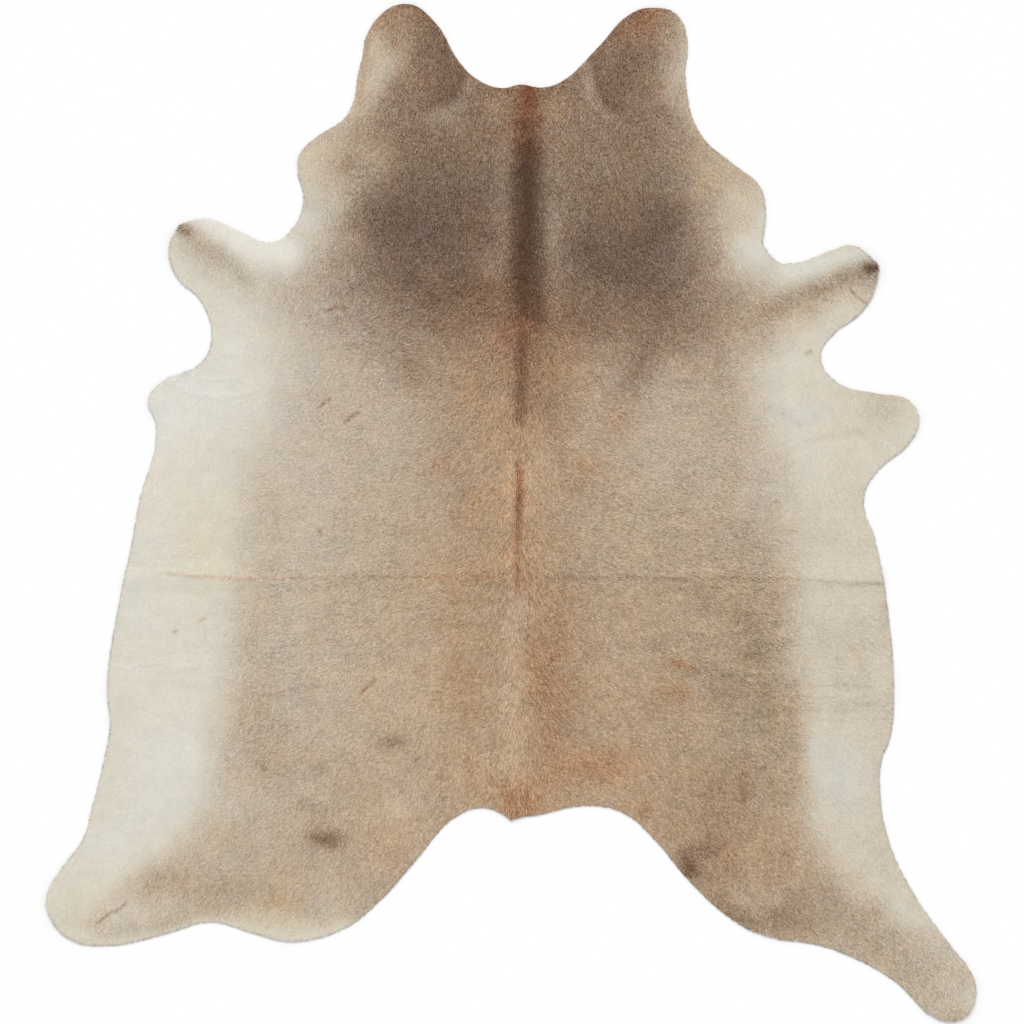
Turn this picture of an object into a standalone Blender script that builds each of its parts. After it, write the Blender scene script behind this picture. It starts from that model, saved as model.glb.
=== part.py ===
"""A cowhide rug: one whole hide, dried flat and laid hair side up.

Metres, +Z up. +Y runs along the spine from the tail to the neck and +X points
to the right of the hide as it is seen from above. The origin lies on the floor,
under the middle of the hide's box.
"""

import math

import bmesh
import bpy

MM = 0.001

HIDE_WIDTH = 2.095
HIDE_LENGTH = 2.292
HIDE_THICKNESS = 0.004

SHEET_MARGIN = 0.060
SHEET_PITCH = 0.036
BLANK_DEPTH = 0.120
CURVE_STEPS = 5
WELD_DISTANCE = 0.00001

# Cuts across a fold, as parts of its half width: close on its top and at its feet.
FOLD_CUTS = (-1, -0.6, -0.25, 0, 0.25, 0.6, 1)

# The spine leans: its x at the front and at the back of the hide's box.
SPINE_X_IN_FRONT = 0.042
SPINE_X_BEHIND = -0.005
SPINE_HALF_WIDTH = 0.048
SPINE_HEIGHT = 0.0030

# The hide was stored folded once across its middle, and that line still stands up.
CREASE_Y = -0.148
CREASE_HALF_WIDTH = 0.040
CREASE_HEIGHT_AT_SPINE = 0.0015
CREASE_HEIGHT_AT_BELLY = 0.0055

COAT_COLOUR = (0.31, 0.235, 0.17, 1.0)
COAT_ROUGHNESS = 0.72

# The cut edge, clockwise from the neck: place, x in mm, y in mm, and how the
# edge turns there. A "soft" place is passed in a smooth curve, a "sharp" one is
# a corner.
NECK_RIGHT = [
    ("nape, on the spine", 22, 965, "soft"),
    ("nape, dip beside the spine", 66, 958, "soft"),
    ("nape, foot of the cheek", 112, 971, "soft"),
    ("cheek, inner slope", 191, 1044, "soft"),
    ("cheek, inner shoulder", 272, 1126, "soft"),
    ("cheek, top", 324, 1137, "soft"),
    ("cheek, outer shoulder", 376, 1120, "soft"),
    ("cheek, outer side", 399, 1058, "soft"),
    ("throat, narrowest", 394, 984, "soft"),
    ("throat, foot", 425, 858, "soft"),
]

FORELEG_RIGHT = [
    ("shoulder, slope", 504, 784, "soft"),
    ("shoulder, top of the point", 558, 740, "soft"),
    ("shoulder, point", 574, 692, "soft"),
    ("armpit, corner", 567, 604, "sharp"),
    ("armpit, floor", 600, 566, "soft"),
    ("foreleg, root of the front edge", 634, 563, "soft"),
    ("foreleg, front edge", 724, 593, "soft"),
    ("foreleg, knuckle", 765, 604, "soft"),
    ("foreleg, tip above the stripe", 826, 560, "sharp"),
    ("foreleg, tip below the stripe", 829, 546, "sharp"),
    ("foreleg, below the tip", 821, 508, "soft"),
    ("foreleg, back of the tip", 807, 474, "soft"),
    ("foreleg, back edge", 768, 431, "soft"),
    ("elbow bay, upper side", 728, 403, "soft"),
    ("elbow bay, deepest", 698, 350, "soft"),
    ("elbow bay, lower side", 731, 297, "soft"),
    ("elbow flap, top edge", 826, 270, "soft"),
    ("elbow flap, top of the tip", 892, 256, "soft"),
    ("elbow flap, tip", 919, 211, "soft"),
    ("elbow flap, under the tip", 894, 153, "soft"),
    ("elbow flap, lower edge", 826, 93, "soft"),
]

FLANK_RIGHT = [
    ("waist", 795, 33, "soft"),
    ("belly, front", 820, -58, "soft"),
    ("belly, at the crease", 846, -197, "soft"),
    ("belly, widest", 862, -388, "soft"),
    ("belly, back", 854, -508, "soft"),
    ("stifle, step", 836, -554, "soft"),
    ("stifle, hollow", 831, -604, "soft"),
    ("stifle, foot", 845, -714, "soft"),
]

HIND_LEG_RIGHT = [
    ("thigh, outer edge", 893, -831, "soft"),
    ("shank, outer edge", 998, -982, "soft"),
    ("shank, outer corner", 1033, -1026, "soft"),
    ("hock, outer side", 1047, -1066, "soft"),
    ("hock, lower corner", 1041, -1107, "soft"),
    ("hock, end", 1010, -1140, "soft"),
    ("hock, inner corner", 962, -1140, "soft"),
    ("shank, inner edge", 859, -1052, "soft"),
    ("thigh, inner hollow", 740, -989, "soft"),
    ("thigh, lower edge", 667, -969, "soft"),
    ("thigh, lower corner", 587, -957, "soft"),
    ("thigh, inner corner", 502, -920, "soft"),
    ("thigh, inner edge", 398, -827, "soft"),
    ("rump, slope", 320, -735, "soft"),
]

TAIL = [
    ("rump, right corner", 252, -677, "soft"),
    ("rump, right hollow", 172, -660, "soft"),
    ("tail root, right", 60, -681, "soft"),
    ("tail root, beside the nick", 12, -688, "soft"),
    ("tail root, tip", 0, -693, "sharp"),
    ("tail root, left", -18, -679, "soft"),
    ("rump, left hollow", -72, -665, "soft"),
    ("rump, left corner", -132, -691, "soft"),
]

HIND_LEG_LEFT = [
    ("rump, slope", -209, -778, "soft"),
    ("thigh, inner edge", -295, -875, "soft"),
    ("thigh, inner corner", -384, -941, "soft"),
    ("thigh, lowest", -497, -965, "soft"),
    ("thigh, lower edge", -592, -944, "soft"),
    ("hock bay", -672, -922, "soft"),
    ("shank, inner edge", -778, -949, "soft"),
    ("hock, lower edge", -905, -975, "soft"),
    ("hock, lower corner", -990, -962, "soft"),
    ("hock, end", -1035, -915, "soft"),
    ("hock, outer side", -1047, -868, "soft"),
    ("shank, outer corner", -1015, -804, "soft"),
    ("shank, outer edge", -963, -732, "soft"),
    ("thigh, outer edge", -944, -662, "soft"),
]

FLANK_LEFT = [
    ("stifle", -916, -552, "soft"),
    ("belly, back dent", -903, -476, "soft"),
    ("belly, widest", -910, -399, "soft"),
    ("belly, at the crease", -882, -199, "soft"),
    ("belly, ahead of the crease", -855, -73, "soft"),
    ("belly, front", -837, 28, "soft"),
    ("waist, top", -800, 165, "soft"),
]

FORELEG_LEFT = [
    ("elbow flap, notch", -802, 206, "soft"),
    ("elbow flap, tip", -818, 252, "soft"),
    ("elbow flap, top edge", -787, 296, "soft"),
    ("elbow bay, lower side", -697, 339, "soft"),
    ("elbow bay, deepest", -675, 390, "soft"),
    ("foreleg, back edge", -697, 473, "soft"),
    ("foreleg, back of the tip", -754, 531, "soft"),
    ("foreleg, tip", -770, 596, "soft"),
    ("foreleg, corner at the stripe", -745, 651, "sharp"),
    ("foreleg, knuckle", -688, 663, "soft"),
    ("foreleg, front edge", -603, 632, "soft"),
    ("armpit, floor", -545, 610, "soft"),
    ("armpit, inner side", -499, 633, "soft"),
    ("shoulder, hollow", -468, 701, "soft"),
    ("shoulder, point", -482, 776, "soft"),
    ("shoulder, top of the point", -475, 808, "soft"),
    ("shoulder, slope", -443, 843, "soft"),
]

NECK_LEFT = [
    ("throat, foot", -369, 897, "soft"),
    ("cheek, outer side", -342, 1000, "soft"),
    ("cheek, outer shoulder", -310, 1104, "soft"),
    ("cheek, top", -234, 1146, "soft"),
    ("cheek, inner shoulder", -169, 1104, "soft"),
    ("cheek, inner slope", -117, 1018, "soft"),
    ("nape, foot of the cheek", -80, 980, "soft"),
    ("nape, dip beside the spine", -22, 957, "soft"),
]

CUT_EDGE = (
    NECK_RIGHT
    + FORELEG_RIGHT
    + FLANK_RIGHT
    + HIND_LEG_RIGHT
    + TAIL
    + HIND_LEG_LEFT
    + FLANK_LEFT
    + FORELEG_LEFT
    + NECK_LEFT
)

# Where the dried edge curls off the floor: place, x and y of the highest point
# in mm, how far the curl runs in from there in mm, and its height in mm.
CURLS = [
    ("left cheek", -240, 1150, 150, 7),
    ("right cheek", 330, 1140, 140, 6),
    ("left shoulder point", -490, 800, 90, 4),
    ("right shoulder point", 590, 715, 90, 4),
    ("left foreleg", -780, 625, 190, 10),
    ("right foreleg", 840, 555, 180, 11),
    ("left elbow flap", -835, 265, 120, 7),
    ("right elbow flap", 935, 215, 150, 9),
    ("left belly", -930, -420, 150, 5),
    ("right belly", 880, -400, 140, 5),
    ("left hock", -1060, -890, 210, 9),
    ("left thigh", -500, -985, 120, 4),
    ("right thigh", 560, -975, 120, 4),
    ("right hock", 1035, -1130, 200, 11),
]


def clear_scene():
    for obj in list(bpy.data.objects):
        bpy.data.objects.remove(obj, do_unlink=True)


def new_collection(name):
    collection = bpy.data.collections.new(name)
    bpy.context.scene.collection.children.link(collection)
    return collection


def coat_material():
    material = bpy.data.materials.new("hide_coat")
    material.use_nodes = True
    surface = material.node_tree.nodes["Principled BSDF"]
    surface.inputs["Base Color"].default_value = COAT_COLOUR
    surface.inputs["Roughness"].default_value = COAT_ROUGHNESS
    surface.inputs["Metallic"].default_value = 0.0
    return material


def cut_edge_curve():
    """The cut edge as one closed curve through its landmarks, given depth."""
    curve = bpy.data.curves.new("cut_edge", "CURVE")
    curve.dimensions = "2D"
    curve.fill_mode = "BOTH"
    curve.resolution_u = CURVE_STEPS
    curve.extrude = BLANK_DEPTH / 2
    spline = curve.splines.new("BEZIER")
    spline.bezier_points.add(len(CUT_EDGE) - 1)
    spline.use_cyclic_u = True
    for point, (_place, x, y, turn) in zip(spline.bezier_points, CUT_EDGE):
        point.co = (x * MM, y * MM, 0.0)
        handle = "AUTO" if turn == "soft" else "VECTOR"
        point.handle_left_type = handle
        point.handle_right_type = handle
    return curve


def fit_box(points, width, length):
    """Scales and moves points so that their box is width by length, centred."""
    for axis, size in ((0, width), (1, length)):
        low = min(point.co[axis] for point in points)
        high = max(point.co[axis] for point in points)
        for point in points:
            point.co[axis] = (point.co[axis] - (low + high) / 2) * size / (high - low)


def cutting_blank(collection):
    """A deep solid of the hide's outline, which trims the sheet to its shape."""
    outline = bpy.data.objects.new("outline", cut_edge_curve())
    collection.objects.link(outline)
    graph = bpy.context.evaluated_depsgraph_get()
    mesh = bpy.data.meshes.new_from_object(outline.evaluated_get(graph))
    bpy.data.objects.remove(outline, do_unlink=True)

    solid = bmesh.new()
    solid.from_mesh(mesh)
    bmesh.ops.remove_doubles(solid, verts=solid.verts, dist=WELD_DISTANCE)
    fit_box(solid.verts, HIDE_WIDTH, HIDE_LENGTH)
    bmesh.ops.recalc_face_normals(solid, faces=solid.faces)
    solid.to_mesh(mesh)
    solid.free()

    blank = bpy.data.objects.new("outline_blank", mesh)
    blank.hide_render = True
    blank.display_type = "WIRE"
    collection.objects.link(blank)
    return blank


def stations(half_span, fold_at, fold_half_width):
    """Even cuts across half_span each way, with a fold's own cuts among them."""
    fold = [fold_at + fold_half_width * part for part in FOLD_CUTS]
    count = math.floor(2 * half_span / SHEET_PITCH)
    even = [-half_span + 2 * half_span * step / count for step in range(1, count)]
    clear = fold_half_width + SHEET_PITCH / 3
    return fold + [place for place in even if abs(place - fold_at) > clear]


def bump(distance, half_width):
    """1 on a fold's line, falling smoothly to 0 at half_width."""
    part = min(abs(distance) / half_width, 1.0)
    return (1 - part * part) ** 2


def spine_x(y):
    """Where the spine lies at y."""
    part = y / HIDE_LENGTH + 0.5
    return SPINE_X_BEHIND + (SPINE_X_IN_FRONT - SPINE_X_BEHIND) * part


def lift(x, y):
    """Height of the hide's underside above the floor."""
    height = SPINE_HEIGHT * bump(x - spine_x(y), SPINE_HALF_WIDTH)
    outward = min(abs(x) / (HIDE_WIDTH / 2), 1.0)
    crease = CREASE_HEIGHT_AT_SPINE
    crease += (CREASE_HEIGHT_AT_BELLY - CREASE_HEIGHT_AT_SPINE) * outward
    height = max(height, crease * bump(y - CREASE_Y, CREASE_HALF_WIDTH))
    for _place, tip_x, tip_y, run, rise in CURLS:
        inward = math.hypot(x - tip_x * MM, y - tip_y * MM) / (run * MM)
        if inward < 1:
            height = max(height, rise * MM * (1 - inward) ** 2)
    return height


def folded_sheet():
    """The untrimmed sheet: a plane cut at the stations and lifted at its folds."""
    half_width = HIDE_WIDTH / 2 + SHEET_MARGIN
    half_length = HIDE_LENGTH / 2 + SHEET_MARGIN
    sheet = bmesh.new()
    bmesh.ops.create_grid(sheet, x_segments=1, y_segments=1, size=1.0)
    for vert in sheet.verts:
        vert.co.x *= half_width
        vert.co.y *= half_length
    columns = [((x, 0, 0), (1, 0, 0)) for x in stations(half_width, 0.0, SPINE_HALF_WIDTH)]
    rows = [((0, y, 0), (0, 1, 0)) for y in stations(half_length, CREASE_Y, CREASE_HALF_WIDTH)]
    for place, normal in columns + rows:
        everything = sheet.verts[:] + sheet.edges[:] + sheet.faces[:]
        bmesh.ops.bisect_plane(sheet, geom=everything, plane_co=place, plane_no=normal)
    for vert in sheet.verts:
        vert.co.x += spine_x(vert.co.y)
        vert.co.z = lift(vert.co.x, vert.co.y)
    mesh = bpy.data.meshes.new("hide")
    sheet.to_mesh(mesh)
    sheet.free()
    return mesh


def build_hide(parts, cutters):
    """The hide: the folded sheet, thickened and trimmed to its cut edge."""
    hide = bpy.data.objects.new("hide", folded_sheet())
    hide.data.materials.append(coat_material())
    parts.objects.link(hide)

    thicken = hide.modifiers.new("thickness", "SOLIDIFY")
    thicken.thickness = HIDE_THICKNESS
    thicken.offset = 1.0

    trim = hide.modifiers.new("trim", "BOOLEAN")
    trim.operation = "INTERSECT"
    trim.solver = "EXACT"
    trim.object = cutting_blank(cutters)
    return hide


clear_scene()
build_hide(new_collection("cowhide_rug"), new_collection("cutters"))
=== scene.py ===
# %% [markdown]
# # A whole cowhide, laid flat
# A cowhide rug is one skin. Below is a layer of leather, about 2 mm thick, with a suede
# side that lies on the floor. Above it lies a short coat, combed by nature from neck to tail.
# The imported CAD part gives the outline, the size and the soft folds. This file dresses it.
# Everything is in metres: X to the right, Y from tail to neck, Z up.

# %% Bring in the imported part
import math
import bpy
import numpy as np
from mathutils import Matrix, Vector
from mathutils.bvhtree import BVHTree


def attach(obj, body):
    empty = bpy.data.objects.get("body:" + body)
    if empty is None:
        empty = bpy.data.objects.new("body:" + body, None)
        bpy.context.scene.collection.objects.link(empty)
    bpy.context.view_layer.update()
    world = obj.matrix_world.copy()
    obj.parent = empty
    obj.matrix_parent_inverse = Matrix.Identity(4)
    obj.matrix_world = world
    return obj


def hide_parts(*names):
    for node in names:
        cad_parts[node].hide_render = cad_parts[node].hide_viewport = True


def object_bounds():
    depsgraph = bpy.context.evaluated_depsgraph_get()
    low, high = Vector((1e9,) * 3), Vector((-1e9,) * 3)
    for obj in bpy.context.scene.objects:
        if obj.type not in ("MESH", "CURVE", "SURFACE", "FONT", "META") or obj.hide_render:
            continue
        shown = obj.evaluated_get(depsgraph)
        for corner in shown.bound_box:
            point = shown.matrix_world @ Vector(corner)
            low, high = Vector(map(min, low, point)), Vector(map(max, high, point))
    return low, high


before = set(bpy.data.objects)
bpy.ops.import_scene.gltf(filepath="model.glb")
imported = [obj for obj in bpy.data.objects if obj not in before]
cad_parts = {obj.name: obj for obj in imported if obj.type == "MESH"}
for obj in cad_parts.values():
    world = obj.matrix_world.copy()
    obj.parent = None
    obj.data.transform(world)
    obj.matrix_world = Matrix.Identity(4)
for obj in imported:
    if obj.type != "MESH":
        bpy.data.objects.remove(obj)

MM = 0.001
cad_box = [list(corner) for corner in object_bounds()]
HIDE_WIDTH = cad_box[1][0] - cad_box[0][0]
HIDE_LENGTH = cad_box[1][1] - cad_box[0][1]
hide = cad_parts["hide"]
print(f"CAD hide {HIDE_WIDTH:.3f} by {HIDE_LENGTH:.3f} m, {len(hide.data.polygons)} faces")

# %% [markdown]
# ## The camera and the layout sheet
# The hide is seen from straight above, so the camera looks down from far away, where a long
# lens keeps the outline true. An orthographic camera would do too, but a real lens also gives
# honest side views. Marks on the hide are placed on a layout sheet of squares of 2.25 mm. Its
# columns count to the right and its rows count down, with the hide's middle at (511, 512.5).

# %% Camera straight above
SQUARE = 2.25 * MM
MIDDLE_COLUMN = 511
MIDDLE_ROW = 512.5
VIEW_SQUARES = 1024
LENS = 100
SENSOR = 36
FARTHEST_SEEN = 100

def on_hide(column, row):
    """The place in metres of a square on the layout sheet."""
    return (column - MIDDLE_COLUMN) * SQUARE, (MIDDLE_ROW - row) * SQUARE

def on_sheet(x, y):
    """The column and the row of the layout sheet for a place in metres."""
    return x / SQUARE + MIDDLE_COLUMN, MIDDLE_ROW - y / SQUARE

bpy.ops.object.select_all(action="DESELECT")
view_x, view_y = on_hide(VIEW_SQUARES / 2, VIEW_SQUARES / 2)
view_height = VIEW_SQUARES * SQUARE * LENS / SENSOR
bpy.ops.object.camera_add(location=(view_x, view_y, view_height + 3 * MM), rotation=(0, 0, 0))
camera = bpy.context.object
camera.name = "camera_above"
camera.data.lens = LENS
camera.data.sensor_width = SENSOR
camera.data.clip_end = FARTHEST_SEEN
bpy.context.scene.camera = camera
print(f"camera {view_height:.2f} m above the hide")

# %% [markdown]
# ## The folds of the hide
# A hide never lies dead flat: the skin is a little raised along the spine, it keeps the mark
# of the fold it was packed with, and its thin corners curl up. The CAD part has these
# folds, and the same sums are used here, so that coat and leather lie exactly in its space.
# A cloth simulation could make other folds, but leather this stiff hardly moves.

# %% The same lift as in the part
SPINE_X_IN_FRONT = 0.042
SPINE_X_BEHIND = -0.005
SPINE_RISE = 3.0 * MM
SPINE_HALF_WIDTH = 48 * MM
CREASE_Y = -0.148
CREASE_HALF_WIDTH = 40 * MM
# in mm, at the spine and how much more at the flanks
CREASE_RISE = 1.5
CREASE_RISE_OUTWARD = 4.0
# place, x mm, y mm, run mm, rise mm
CURLS = (
    ("left cheek", -240, 1150, 150, 7),
    ("right cheek", 330, 1140, 140, 6),
    ("left shoulder point", -490, 800, 90, 4),
    ("right shoulder point", 590, 715, 90, 4),
    ("left foreleg", -780, 625, 190, 10),
    ("right foreleg", 840, 555, 180, 11),
    ("left elbow flap", -835, 265, 120, 7),
    ("right elbow flap", 935, 215, 150, 9),
    ("left belly", -930, -420, 150, 5),
    ("right belly", 880, -400, 140, 5),
    ("left hock", -1060, -890, 210, 9),
    ("left thigh", -500, -985, 120, 4),
    ("right thigh", 560, -975, 120, 4),
    ("right hock", 1035, -1130, 200, 11),
)

def bump(distance, half_width):
    """A smooth hump, 1 in the middle and 0 from half_width on."""
    part = np.minimum(np.abs(distance) / half_width, 1)
    return (1 - part * part) ** 2

def spine_x(y):
    """Where the spine runs at this length of the hide."""
    return SPINE_X_BEHIND + (SPINE_X_IN_FRONT - SPINE_X_BEHIND) * (y / HIDE_LENGTH + 0.5)

def lift(x, y):
    """How high the underside is above the floor."""
    height = SPINE_RISE * bump(x - spine_x(y), SPINE_HALF_WIDTH)
    outward = np.minimum(np.abs(x) / (HIDE_WIDTH / 2), 1)
    crease = (CREASE_RISE + CREASE_RISE_OUTWARD * outward) * MM
    height = np.maximum(height, crease * bump(y - CREASE_Y, CREASE_HALF_WIDTH))
    for _place, tip_x, tip_y, run, rise in CURLS:
        inward = np.hypot(x - tip_x * MM, y - tip_y * MM) / (run * MM)
        height = np.maximum(height, rise * MM * np.clip(1 - inward, 0, 1) ** 2)
    return height

def corners_of(mesh):
    """The mesh's points as an array of x, y and z."""
    points = np.empty(len(mesh.vertices) * 3)
    mesh.vertices.foreach_get("co", points)
    return points.reshape(-1, 3)

def move_corners(mesh, points):
    """Moves the mesh's points to these places."""
    mesh.vertices.foreach_set("co", points.ravel())
    mesh.update()

THICKNESS = 4 * MM
cad_points = corners_of(hide.data)
above_lift = cad_points[:, 2] - lift(cad_points[:, 0], cad_points[:, 1])
off = np.minimum(np.abs(above_lift), np.abs(above_lift - THICKNESS)).max()
print(f"the lift agrees with the CAD part to {off / MM:.2f} mm")

# %% [markdown]
# ## The cut line
# The edge of a hide is one long knife cut. The CAD part's side wall is that cut. A copy of
# the part is merged, its two broad faces are taken off, and the wall that is left is drawn
# out in height into a curtain. Sheets can then be pulled out to it, wherever they lie.

# %% A curtain that stands on the cut line
SAME_PLACE = 0.01 * MM
STEEP = 0.5
CURTAIN_STRETCH = 25

def pick(*pieces):
    """Leaves only these pieces selected, with the first one active."""
    bpy.ops.object.select_all(action="DESELECT")
    for piece in pieces:
        piece.select_set(True)
    bpy.context.view_layer.objects.active = pieces[0]

def delete_faces(piece, unwanted):
    """Deletes the faces for which the list says True."""
    pick(piece)
    bpy.ops.object.mode_set(mode="EDIT")
    bpy.ops.mesh.select_mode(type="FACE")
    bpy.ops.mesh.select_all(action="DESELECT")
    bpy.ops.object.mode_set(mode="OBJECT")
    piece.data.polygons.foreach_set("select", unwanted)
    bpy.ops.object.mode_set(mode="EDIT")
    bpy.ops.mesh.delete(type="FACE")
    bpy.ops.mesh.select_mode(type="VERT")
    bpy.ops.object.mode_set(mode="OBJECT")

curtain = bpy.data.objects.new("cut_line", hide.data.copy())
bpy.context.scene.collection.objects.link(curtain)
pick(curtain)
bpy.ops.object.mode_set(mode="EDIT")
bpy.ops.mesh.select_all(action="SELECT")
bpy.ops.mesh.remove_doubles(threshold=SAME_PLACE)
bpy.ops.object.mode_set(mode="OBJECT")
delete_faces(curtain, [abs(face.normal.z) > STEEP for face in curtain.data.polygons])
wall = corners_of(curtain.data)
above_middle = wall[:, 2] - lift(wall[:, 0], wall[:, 1]) - THICKNESS / 2
wall[:, 2] = above_middle * CURTAIN_STRETCH
move_corners(curtain.data, wall)
print(f"curtain of {len(curtain.data.polygons)} faces, up to {wall[:, 2].max():.3f} m high")

# %% [markdown]
# ## A sheet cut to the hide's shape
# Leather and coat are both sheets of the same shape. Each starts as a flat grid, as a tanner
# starts with a board. The squares that lie outside the hide are deleted, and the rim that is
# left is pulled out to the cut line by a Shrinkwrap modifier. Cutting with a Boolean would
# do as well, but leaves slivers at the edge, where the coat should end in whole squares.

# %% How a sheet is cut
over_hide = BVHTree.FromPolygons(
    [tuple(point) for point in cad_points],
    [tuple(face.vertices) for face in hide.data.polygons],
)
DOWN = Vector((0, 0, -1))

def is_over_hide(x, y):
    """True where a plumb line from above meets the hide."""
    return over_hide.ray_cast(Vector((x, y, 1)), DOWN)[0] is not None

def cut_sheet(name, cell, inset):
    """A flat grid with the hide's outline, its rim this far inside the cut line."""
    bpy.ops.object.select_all(action="DESELECT")
    columns = math.ceil(HIDE_WIDTH / cell) + 2
    rows = math.ceil(HIDE_LENGTH / cell) + 2
    bpy.ops.mesh.primitive_grid_add(x_subdivisions=columns, y_subdivisions=rows, size=1)
    sheet = bpy.context.object
    sheet.name = name
    sheet.data.name = name
    sheet.scale = (columns * cell, rows * cell, 1)
    bpy.ops.object.transform_apply(location=False, rotation=False, scale=True)
    inside = np.array([is_over_hide(x, y) for x, y, _z in corners_of(sheet.data)])
    outside = [not inside[list(face.vertices)].all() for face in sheet.data.polygons]
    delete_faces(sheet, outside)
    bpy.ops.object.mode_set(mode="EDIT")
    bpy.ops.mesh.select_non_manifold(use_wire=False, use_multi_face=False, use_non_contiguous=False)
    bpy.ops.object.vertex_group_assign_new()
    bpy.ops.object.mode_set(mode="OBJECT")
    pull = sheet.modifiers.new("to the cut line", "SHRINKWRAP")
    pull.target = curtain
    pull.wrap_method = "NEAREST_SURFACEPOINT"
    pull.wrap_mode = "ON_SURFACE"
    pull.offset = inset
    pull.vertex_group = sheet.vertex_groups[0].name
    bpy.ops.object.modifier_apply(modifier=pull.name)
    sheet.vertex_groups.clear()
    return sheet

print("the box's middle is over the hide:", is_over_hide(0, 0))

# %% [markdown]
# ## The leather
# The tanned skin under the coat is 1.8 mm thick. It is seen at the cut edge and from below,
# as soft pale suede. Its sheet follows the folds, and a Solidify modifier gives it its
# thickness, upwards, so that its underside rests on the floor where the hide does. A small
# bevel takes the sharpness off the cut.

# %% Leather sheet on the folds
LEATHER = 1.8 * MM
LEATHER_CELL = 18 * MM
LEATHER_INSET = 3 * MM
CUT_ANGLE = math.radians(50)
CUT_BEVEL = 0.4 * MM
SMOOTH_ANGLE = math.radians(40)
leather = cut_sheet("leather_flesh_side", LEATHER_CELL, LEATHER_INSET)
points = corners_of(leather.data)
points[:, 2] = lift(points[:, 0], points[:, 1])
move_corners(leather.data, points)
thick = leather.modifiers.new("thickness", "SOLIDIFY")
thick.thickness = LEATHER
thick.offset = 1
bpy.ops.object.modifier_apply(modifier=thick.name)
soften = leather.modifiers.new("soft cut", "BEVEL")
soften.limit_method = "ANGLE"
soften.angle_limit = CUT_ANGLE
soften.width = CUT_BEVEL
soften.segments = 2
bpy.ops.object.modifier_apply(modifier=soften.name)
bpy.ops.object.shade_smooth_by_angle(angle=SMOOTH_ANGLE)
print(f"leather {len(leather.data.polygons)} faces")

# %% [markdown]
# ## Wrinkles in the coat
# Besides the large folds, the thin skin of the belly, elbows and flanks is finely wrinkled.
# Each wrinkle is drawn on the layout sheet as a line with a width and a height.
# Between them run ripples as thin as a hair. Nobody could draw them all, so soft random
# patches, stretched across the hide, stand for them. A bump in the shader would do from afar,
# but real height also lifts the hairs a little.

# %% Fine wrinkles
# place, half width in squares, rise in mm, then columns and rows
WRINKLES = (
    ("crease, left", 3.2, 1.5, ((158, 572), (186, 575), (214, 578), (246, 579))),
    ("crease, right", 2.6, 1.2, ((600, 581), (660, 582), (720, 580), (800, 582), (884, 585))),
    ("elbow fold", 5.0, 1.6, ((170, 384), (196, 396), (226, 399), (256, 391))),
    ("elbow fold, upper", 4.0, 1.1, ((176, 372), (206, 380), (244, 378))),
    ("left flank 1", 2.2, 0.9, ((112, 668), (150, 664), (196, 668))),
    ("left flank 2", 2.2, 0.8, ((116, 682), (160, 680), (214, 684))),
    ("right flank 1", 2.2, 1.0, ((780, 684), (820, 686), (866, 682))),
    ("right flank 2", 2.2, 1.1, ((772, 694), (810, 697), (862, 694))),
    ("right flank 3", 2.2, 0.9, ((784, 706), (826, 708), (884, 704))),
    ("left hock", 2.4, 1.0, ((100, 914), (114, 910), (130, 902))),
)

def to_line(x, y, line):
    """The distance from each place to a line drawn through these corners."""
    nearest = np.full(np.shape(x), np.inf)
    for (ax, ay), (bx, by) in zip(line, line[1:]):
        along_x = bx - ax
        along_y = by - ay
        part = ((x - ax) * along_x + (y - ay) * along_y) / (along_x**2 + along_y**2)
        part = np.clip(part, 0, 1)
        away = np.hypot(x - ax - part * along_x, y - ay - part * along_y)
        nearest = np.minimum(nearest, away)
    return nearest

def near_line(x, y, line, reach):
    """Which places lie in the line's box, grown by reach."""
    columns = [corner[0] for corner in line]
    rows = [corner[1] for corner in line]
    beside = (x > min(columns) - reach) & (x < max(columns) + reach)
    return beside & (y > min(rows) - reach) & (y < max(rows) + reach)

def wrinkles(x, y):
    """The height that the fine wrinkles add."""
    column, row = on_sheet(x, y)
    height = np.zeros(np.shape(x))
    for _place, half_width, rise, line in WRINKLES:
        near = near_line(column, row, line, half_width)
        away = to_line(column[near], row[near], line)
        height[near] += rise * MM * bump(away, half_width)
    return height

def smooth(part):
    """0 below 0, 1 above 1, and a soft step between."""
    part = np.clip(part, 0, 1)
    return part * part * (3 - 2 * part)

KNOTS = 64

def soft_noise(x, y, cell, seed):
    """Soft random patches from -1 to 1, about one cell wide."""
    knots = np.random.default_rng(seed).uniform(-1, 1, (KNOTS, KNOTS))
    i = np.floor(x / cell).astype(int)
    j = np.floor(y / cell).astype(int)
    a = smooth(x / cell - i)
    b = smooth(y / cell - j)
    left = i % KNOTS
    right = (i + 1) % KNOTS
    near = j % KNOTS
    far = (j + 1) % KNOTS
    low = knots[left, near] * (1 - a) + knots[right, near] * a
    high = knots[left, far] * (1 - a) + knots[right, far] * a
    return low * (1 - b) + high * b

# all in squares of the layout sheet
RIPPLES_PARTING = 514
RIPPLES_BEGIN = 70
RIPPLES_FADE_IN = 100
RIPPLES_ROW = 600
RIPPLES_HALF_LENGTH = 200
RIPPLE_STRETCH = 8
RIPPLE_SPACING = 3.4
RIPPLE_BEND = 7
BEND_SIZE = 45
RIPPLE_HEIGHT = 0.35 * MM
GROUND_GAP = 0.4 * MM

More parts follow.
